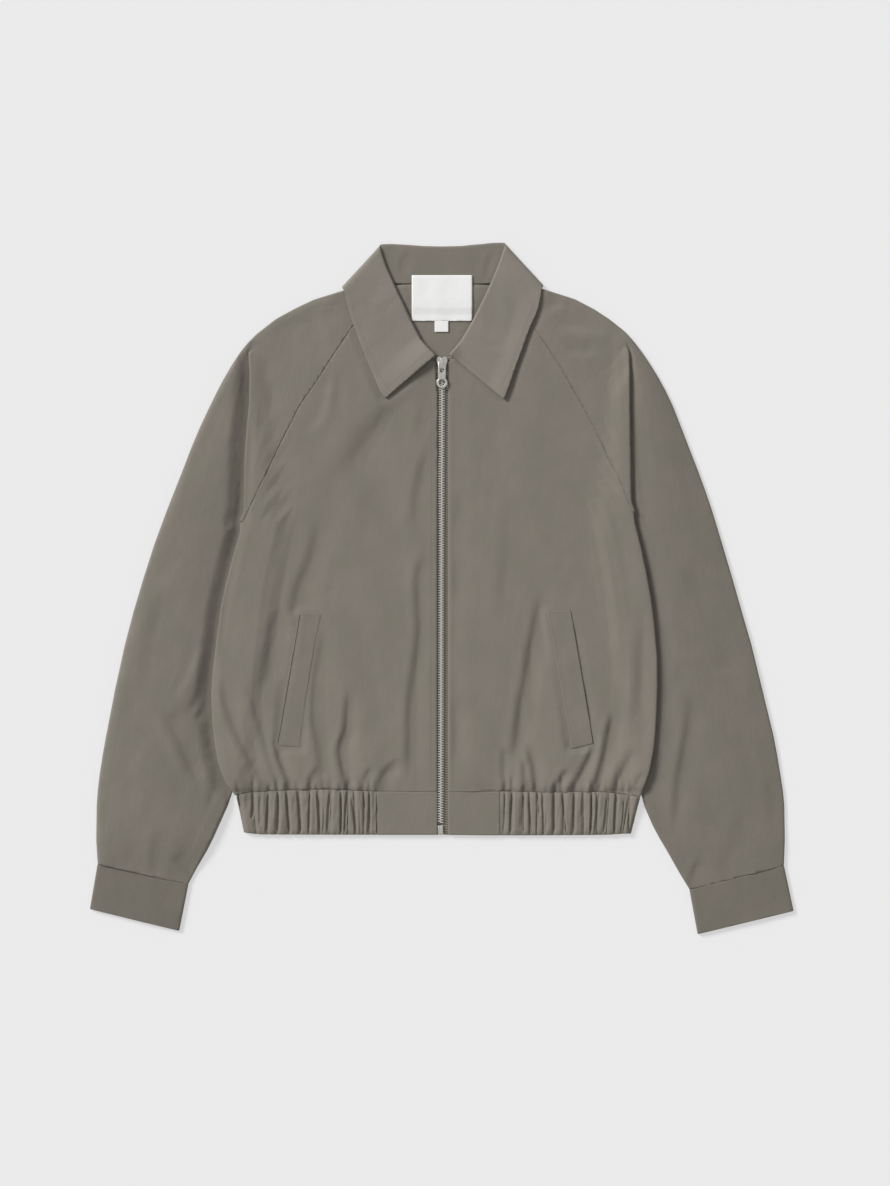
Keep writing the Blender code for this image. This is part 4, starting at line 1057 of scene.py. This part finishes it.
@dataclass
class Sleeve(ClothPiece):
    """A sleeve, whose cap drapes with the body and whose arm has creases of its own.

    Attributes:
        side: the wearer's side.
        cap_rows: y between which the arm's creases come to reach round the cap.
    """

    side: Side = Side.RIGHT
    cap_rows: Point = (222.0, 262.0)

    def top_height(self, points: np.ndarray) -> np.ndarray:
        """The body's creases over the cap, and the arm's beyond the pleat."""
        rows, edge = zip(*SIDE_EDGES[self.side])
        out = np.abs(points[:, 0]) - np.interp(points[:, 1], rows, edge)
        above = smooth(points[:, 1], *self.cap_rows)
        arm = smooth(out, 1.0 - 10.0 * above, 9.0 + 4.0 * above)
        body = BODY_DRAPE.height(points[:, :2])
        return body * (1 - arm) + ARM_DRAPES[self.side].height(points[:, :2]) * arm


@dataclass
class Welt(ClothPiece):
    """A pocket's welt, pressed thin and flush with the front that carries it.

    Attributes:
        pressed: its thickness as a share of the solid's.
        sunk: how far it sinks into the front.
    """

    pressed: float = 0.55
    sunk: float = 0.3

    def draped(self, points: np.ndarray) -> np.ndarray:
        """The pressed points, which follow the front's cloth and sink at their edges."""
        low = points[:, 2].min()
        moved = points.copy()
        moved[:, 2] = low - self.sunk + (points[:, 2] - low) * self.pressed
        moved[:, 2] += WELT_DRAPE.height(points[:, :2])
        return moved


@dataclass
class Front(ClothPiece):
    """A front panel, whose upper side corner closes up to the sleeve's pleat.

    Attributes:
        corner: where that corner lies.
        shift: how far it moves.
        reach: how far from it the cloth moves with it.
    """

    corner: Point = (0.0, 0.0)
    shift: Point = (0.0, 0.0)
    reach: float = 10.0

    def draped(self, points: np.ndarray) -> np.ndarray:
        """The creased points, with the corner drawn up."""
        moved = super().draped(points)
        away = np.hypot(*(points[:, :2] - np.array(self.corner)).T)
        near = 1.0 - smooth(away, 0.0, self.reach)
        moved[:, :2] += near[:, None] * np.array(self.shift)
        return moved


# --- zip ---------------------------------------------------------------------------------------

@dataclass
class Zip:
    """The zip's teeth, slider, pull tab and foot.

    Attributes:
        meet: how far each row of teeth reaches past the middle line.
        low: the height of a tooth's foot.
        bar_spots: the middles of the two bars at the foot.
    """

    metal: bpy.types.Material
    teeth_metal: bpy.types.Material
    pitch: float = 2.6
    tooth: Point3 = (4.0, 1.0, 2.3)
    tooth_edge: float = 0.22
    meet: float = 1.0
    low: float = 3.2
    top_y: float = 229.2
    low_y: float = -246.8
    bar: Point3 = (1.5, 7.2, 1.1)
    bar_edge: float = 0.3
    bar_spots: tuple[Point3, ...] = ((-3.3, -251.9, 5.3), (-0.2, -252.6, 5.3))

    def middle(self, y: float) -> float:
        """x of the zip's middle line, which leans a little."""
        return mix(0.25, -1.25, (210.0 - y) / 467.5)

    def tooth_shape(self) -> bmesh.types.BMesh:
        """One tooth about its own middle, with its edges taken off."""
        bm = bmesh.new()
        bmesh.ops.create_cube(bm, size=1.0, matrix=Matrix.Diagonal((*self.tooth, 1.0)))
        bmesh.ops.bevel(bm, geom=bm.edges[:], offset=self.tooth_edge, segments=1, profile=0.5,
                        affect="EDGES", material=-1)
        bmesh.ops.scale(bm, vec=(MM, MM, MM), verts=bm.verts)
        return bm

    def teeth(self) -> bpy.types.Object:
        """The two rows of teeth, meshed along the middle."""
        shape = bpy.data.meshes.new("tooth")
        one = self.tooth_shape()
        one.to_mesh(shape)
        one.free()
        bm = bmesh.new()
        count = int((self.top_y - self.low_y) / self.pitch)
        for side in Side:
            for number in range(count):
                y = self.top_y - (number + (0.5 if side is Side.LEFT else 0.0)) * self.pitch
                reach = self.tooth[0] / 2 - self.meet
                x = self.middle(y) + side.value * reach
                start = len(bm.verts)
                bm.from_mesh(shape)
                bm.verts.ensure_lookup_table()
                bmesh.ops.translate(bm, verts=bm.verts[start:],
                                    vec=Vector((x, y, self.low + self.tooth[2] / 2)) * MM)
        bpy.data.meshes.remove(shape)
        made = new_piece("zip_teeth", bm, self.teeth_metal)
        made.data.shade_flat()
        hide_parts("zip_chain")
        return made

    def softened(self, name: str, node: str, width: float) -> bpy.types.Object:
        """A metal solid with its edges rounded."""
        made = new_piece(name, merged_copy(node, 1.0), self.metal)
        made.data.shade_flat()
        edge = made.modifiers.new("edges", "BEVEL")
        edge.width = width * MM
        edge.segments = 2
        edge.limit_method = "ANGLE"
        edge.angle_limit = math.radians(28)
        made = applied(made)
        made.data.shade_smooth()
        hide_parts(node)
        return made

    def foot_bars(self) -> bpy.types.Object:
        """The box and the pin at the foot, as two bars on the stop."""
        bm = bmesh.new()
        size = Matrix.Diagonal((*(side * MM for side in self.bar), 1.0))
        for spot in self.bar_spots:
            made = bmesh.ops.create_cube(
                bm, size=1.0, matrix=Matrix.Translation(Vector(spot) * MM) @ size)
            edges = list({edge for vert in made["verts"] for edge in vert.link_edges})
            bmesh.ops.bevel(bm, geom=edges, offset=self.bar_edge * MM, segments=2, profile=0.5,
                            affect="EDGES", material=-1)
        return new_piece("zip_foot_bars", bm, self.metal)

    def build(self) -> None:
        """Makes the metal of the zip."""
        fixed = [self.teeth(), self.softened("zip_slider_body", "zip_slider", 0.28),
                 self.softened("zip_foot", "zip_stop", 0.15), self.foot_bars()]
        for made in fixed:
            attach(made, JACKET)
        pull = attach(self.softened("zip_pull_tab", "zip_pull", 0.22), PULL)
        for made in (*fixed, pull):
            log.info("%s: %d faces", made.name, len(made.data.polygons))


# --- the jacket --------------------------------------------------------------------------------

SHELL_COLOUR: Colour = (0.190, 0.171, 0.142)
COLLAR_COLOUR: Colour = (0.214, 0.192, 0.163)


@dataclass
class Jacket:
    """All the cloth of the jacket."""

    shell: bpy.types.Material
    sleeves: dict[Side, bpy.types.Material]
    cuffs: bpy.types.Material
    collar: bpy.types.Material
    tape: bpy.types.Material
    label: bpy.types.Material

    def pieces(self) -> list[ClothPiece]:
        """The cloth pieces, from the floor up."""
        made: list[ClothPiece] = [
            ClothPiece("back_panel", (0.45, 0.536), 0.183, Held.LAID, self.shell, Slot.SHELL,
                       BODY_DRAPE, UNDER_DRAPE, cell=(8.0, 9.0), levels=1),
            ClothPiece("collar", (0.5, 0.095), 0.032, Held.FOLDED, self.collar, Slot.COLLAR,
                       COLLAR_DRAPE, cell=(3.4, 3.4), levels=1, fade=9.0, crisp=0.85,
                       rests_on=("front_left", "front_right")),
            ClothPiece("band_elastic", (0.95, 0.0455), None, Held.GATHERED, self.shell,
                       Slot.SHELL, BAND_DRAPE, cell=(1.7, 5.0), levels=1, fade=5.0, crisp=0.3),
        ]
        for side, front, sleeve, cuff, end, welt, corner in (
                (Side.RIGHT, (0.256, 0.532, 0.0983), (0.42, 0.66, 0.1534), (0.192, 0.05),
                 (0.0635, 0.046), (0.0235, 0.141), (-209.5, 66.0)),
                (Side.LEFT, (0.246, 0.532, 0.0943), (0.42, 0.66, 0.1525), (0.198, 0.051),
                 (0.054, 0.046), (0.0235, 0.143), (200.5, 78.0))):
            made += [
                Sleeve("sleeve_" + side.word, sleeve[:2], sleeve[2], Held.FOLDED,
                       self.sleeves[side], Slot.SHELL, BODY_DRAPE, UNDER_DRAPE,
                       cell=(5.0, 6.0), levels=1,
                       fade=20.0 if side is Side.RIGHT else 12.0, side=side),
                Front("front_" + side.word, front[:2], front[2], Held.LAID, self.shell,
                      Slot.SHELL, BODY_DRAPE, cell=(4.3, 6.0), levels=1, fade=10.0,
                      rests_on=("back_panel",), corner=corner, shift=(0.9 * side.value, 3.4)),
                ClothPiece("cuff_" + side.word, cuff, None, Held.LAID, self.cuffs, Slot.SHELL,
                           CUFF_DRAPE, cell=(8.0, 8.0), crisp=0.6),
                ClothPiece("band_end_" + side.word, end, None, Held.LAID, self.shell,
                           Slot.SHELL, SMALL_DRAPE, cell=(6.0, 6.0), crisp=0.7,
                           rests_on=("zip_tape_" + side.word,)),
                Welt("pocket_welt_" + side.word, welt, None, Held.LAID, self.shell, Slot.SHELL,
                     WELT_DRAPE, cell=(5.0, 5.0), crisp=0.6, rests_on=("front_" + side.word,)),
                ClothPiece("zip_tape_" + side.word, (0.0125, 0.5005), None, Held.LAID, self.tape,
                           Slot.TAPE, TAPE_DRAPE, cell=(6.0, 6.0), levels=1, crisp=1.0,
                           rests_on=("back_panel",)),
            ]
        made += [
            ClothPiece("neck_label", (0.063, 0.0475), None, Held.LAID, self.label, Slot.LABEL,
                       SMALL_DRAPE, cell=(6.0, 6.0), crisp=1.0, rests_on=("back_panel",)),
            ClothPiece("size_label", (0.014, 0.0111), None, Held.LAID, self.label, Slot.LABEL,
                       SMALL_DRAPE, cell=(3.0, 3.0), crisp=1.0, rests_on=("back_panel",)),
        ]
        return made

    def build(self) -> list[ClothPiece]:
        """Makes every piece."""
        made = self.pieces()
        for cloth in made:
            cloth.build()
        return made


# --- sewing ------------------------------------------------------------------------------------

RAGLAN_LINES = (
    ((-98.5, 268), (-114.5, 244.5), (-132, 217), (-150, 191), (-163.5, 164.5), (-177.5, 136),
     (-189, 112), (-199.5, 90.5), (-207.5, 72)),
    ((101.5, 268), (114.5, 249.5), (127, 230.5), (152, 186.5), (165, 161.5), (176.5, 136),
     (186.5, 116.5), (193.5, 99.5), (199, 84)),
)
COLLAR_LINES = (
    ((-12, 250), (-35, 230.2), (-57.7, 210.6), (-67, 228), (-79, 254.5), (-89, 280), (-95, 301),
     (-96.5, 310)),
    ((15, 246.5), (38, 228.8), (61.4, 210.7), (69, 225), (79, 252), (91, 285), (97, 301),
     (98, 310)),
)
ZIP_LINES = (((-10.5, 196), (-10.9, 90), (-11.2, -20), (-11.5, -120), (-11.8, -208)),
             ((12.8, 200), (12.5, 90), (12.2, -20), (11.9, -120), (11.6, -208)))
WELT_LINES = (
    ((-146.4, -28), (-128.3, -28), (-139, -96), (-150, -163.2), (-169.6, -163.2)),
    ((133.5, -25), (113, -25), (125.5, -96), (137.6, -163.2), (156.8, -163.2)),
)

SEAMS = {"stitches_raglan": RAGLAN_LINES, "stitches_collar": COLLAR_LINES,
         "stitches_zip": ZIP_LINES, "stitches_welts": WELT_LINES}
# Beads of painted shadow: near-black strips in the pocket mouths and along the right raglan seam,
# where there is only shade in a narrow gap.
POCKET_SHADOW_BEADS = {"pocket_mouth_painted_shadow": (((-148.6, -28), (-160.2, -96), (-172, -164)),
                            ((135.6, -25), (147.2, -94), (159.2, -163.5)))}
RAGLAN_SHADOW_BEADS = {"raglan_painted_shadow": RAGLAN_LINES[:1]}


@dataclass
class Sewing:
    """The lines of stitches, laid on the finished cloth; laid the same way, near-black beads stand
    as painted shadow in the pocket mouths and the raglan seam.

    Attributes:
        thread: the thread's material.
        seams: each kind of seam, with its lines.
        pitch: from one stitch to the next.
        stitch: length, width and height of a stitch.
    """

    thread: bpy.types.Material
    seams: dict[str, Sequence[Sequence[Point]]]
    pitch: float = 2.8
    stitch: Point3 = (2.0, 0.42, 0.3)

    # The height that rays are cast from, and how far either side of a stitch its way is read.
    ABOVE = 60.0
    BESIDE = 0.1

    def ground(self, cloth: Sequence[ClothPiece]) -> BVHTree:
        """All the finished cloth, in millimetres."""
        meshes = [part.piece.data for part in cloth]
        return tree_of([(points_of(mesh), mesh) for mesh in meshes])

    def row(self, bm: bmesh.types.BMesh, ground: BVHTree, line: Sequence[Point]) -> None:
        """Lays one row of stitches along a line."""
        ends = np.array(line, float)
        marks = marks_of(ends)
        for mark in np.arange(self.pitch / 2, marks[-1], self.pitch):
            here, ahead = (Vector([float(np.interp(mark + more, marks, ends[:, axis]))
                                   for axis in (0, 1)] + [self.ABOVE])
                           for more in (-self.BESIDE, self.BESIDE))
            spot, normal, _, _ = ground.ray_cast(here, Vector((0.0, 0.0, -1.0)))
            if spot is None:
                continue
            way = (ahead - here).normalized()
            side = normal.cross(way).normalized()
            turned = Matrix((normal.cross(side) * -1.0, side, normal)).transposed().to_4x4()
            shape = Matrix.Diagonal((*(size / 2 * MM for size in self.stitch), 1.0))
            bmesh.ops.create_icosphere(bm, subdivisions=1, radius=1.0,
                                       matrix=Matrix.Translation(spot * MM) @ turned @ shape)

    def build(self, cloth: Sequence[ClothPiece]) -> None:
        """Makes one piece of stitches, or of painted-shadow beads, for each kind of seam."""
        ground = self.ground(cloth)
        for name, lines in self.seams.items():
            bm = bmesh.new()
            for line in lines:
                self.row(bm, ground, line)
            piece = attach(new_piece(name, bm, self.thread), JACKET)
            log.info("%s: %d faces", name, len(piece.data.polygons))


# --- the studio --------------------------------------------------------------------------------

@dataclass
class Studio:
    """A pale floor, soft light from the upper left and a camera straight above.

    Attributes:
        floor_low: how far the floor lies below the jacket, in millimetres.
        floor_glow: how much light the floor gives off.
        frame_height: the height of what the camera sees on the floor, in metres.
    """

    floor_size: float = 9.0
    floor_low: float = 0.3
    floor_shades: Point = (0.30, 0.305)
    floor_glow: float = 0.515
    sky: float = 0.45
    far_clip: float = 50.0
    lens: float = 85.0
    sensor: float = 36.0
    frame_height: float = 1.2453
    aim: Point = (3.4, -4.9)

    def floor(self) -> None:
        """The floor, partly lit from within so that shadows on it stay faint."""
        graph = Graph("studio_floor")
        grain = graph.noise(graph.place(), 30.0, 2.0)
        look = graph.finish(
            Base_Color=graph.blended(grain, *((shade,) * 3 for shade in self.floor_shades)),
            Roughness=0.9, Specular_IOR_Level=0.1,
            Emission_Color=(1.0, 1.0, 1.0, 1.0), Emission_Strength=self.floor_glow)
        bm = bmesh.new()
        bmesh.ops.create_grid(bm, x_segments=2, y_segments=2, size=self.floor_size / 2)
        bmesh.ops.translate(bm, verts=bm.verts, vec=(0.0, 0.0, -self.floor_low * MM))
        new_piece("floor", bm, look)

    def lamp(self, name: str, way: Point3, power: float, soft: float) -> None:
        """A far lamp.

        Args:
            name: the lamp.
            way: where it stands, seen from the jacket.
            power: how strong it is.
            soft: how wide it looks from the jacket, in degrees.
        """
        data = bpy.data.lights.new(name, "SUN")
        data.energy = power
        data.angle = math.radians(soft)
        made = bpy.data.objects.new(name, data)
        made.rotation_euler = (-Vector(way)).to_track_quat("-Z", "Y").to_euler()
        bpy.context.scene.collection.objects.link(made)

    def light(self) -> None:
        """The lamp and the sky."""
        self.lamp("key", (-0.67, 0.50, 0.545), 3.3, 20.0)
        world = bpy.data.worlds.new("studio")
        world.use_nodes = True
        sky = world.node_tree.nodes["Background"]
        sky.inputs["Color"].default_value = (1.0, 1.0, 1.0, 1.0)
        sky.inputs["Strength"].default_value = self.sky
        bpy.context.scene.world = world

    def camera(self) -> None:
        """The camera, level with the photograph's frame."""
        data = bpy.data.cameras.new("camera")
        data.lens = self.lens
        data.sensor_width = self.sensor
        data.sensor_fit = "AUTO"
        data.clip_end = self.far_clip
        made = bpy.data.objects.new("camera", data)
        far = self.frame_height * self.lens / self.sensor
        made.location = (self.aim[0] * MM, self.aim[1] * MM, far)
        bpy.context.scene.collection.objects.link(made)
        bpy.context.scene.camera = made
        bpy.context.scene.view_settings.view_transform = "Standard"

    def build(self) -> None:
        """Makes the studio."""
        self.camera()
        self.light()
        self.floor()


def main() -> None:
    """Builds the studio, the cloth, the zip and the sewing in order."""
    logging.basicConfig(level=logging.INFO, format="%(name)s: %(message)s")
    Studio().build()
    shell = ClothFinish("shell_cloth", SHELL_COLOUR).make()
    # The arms, from 190 to 222 mm out from the middle line, turn darker: painted shade, deeper on
    # the left arm (0.89) than on the right (0.95).
    sleeves = {side: ClothFinish(f"sleeve_{side.word}_cloth", SHELL_COLOUR, crinkle=0.45,
                                 other=tint(SHELL_COLOUR, share), turns=(190.0, 222.0)).make()
               for side, share in ((Side.RIGHT, 0.95), (Side.LEFT, 0.89))}
    cuffs = ClothFinish("cuff_cloth", tint(SHELL_COLOUR, 0.82)).make()
    # The collar's low stand, below 3.9 mm, keeps the shell colour x 0.95, and the leaves above 5.3
    # mm take the collar colour: painted shade on the stand.
    collar = ClothFinish("collar_cloth", tint(SHELL_COLOUR, 0.95), crinkle=0.2,
                         other=COLLAR_COLOUR, turns=(3.9, 5.3), other_way="Z").make()
    tape = TapeFinish("zip_tape", (0.2, 0.18, 0.145)).make()
    label = LabelFinish("woven_label", (0.84, 0.84, 0.83)).make()
    metal = MetalFinish("zip_metal", (0.92, 0.90, 0.85)).make()
    teeth = MetalFinish("zip_teeth_metal", (0.72, 0.70, 0.66), 0.4, 0.35).make()
    thread = ThreadFinish("sewing_thread", (0.125, 0.11, 0.09)).make()
    cloth = Jacket(shell, sleeves, cuffs, collar, tape, label).build()
    Zip(metal, teeth).build()
    Sewing(thread, SEAMS).build(cloth)
    # Near-black beads of painted shadow in the pocket mouths and along the right raglan seam.
    painted_shadow_finish = ThreadFinish("painted_gap_shadow", (0.035, 0.031, 0.026)).make()
    Sewing(painted_shadow_finish, POCKET_SHADOW_BEADS, 1.5, (2.9, 0.95, 0.3)).build(cloth)
    Sewing(painted_shadow_finish, RAGLAN_SHADOW_BEADS, 1.4, (2.7, 0.5, 0.24)).build(cloth)


if __name__ == "__main__":
    main()
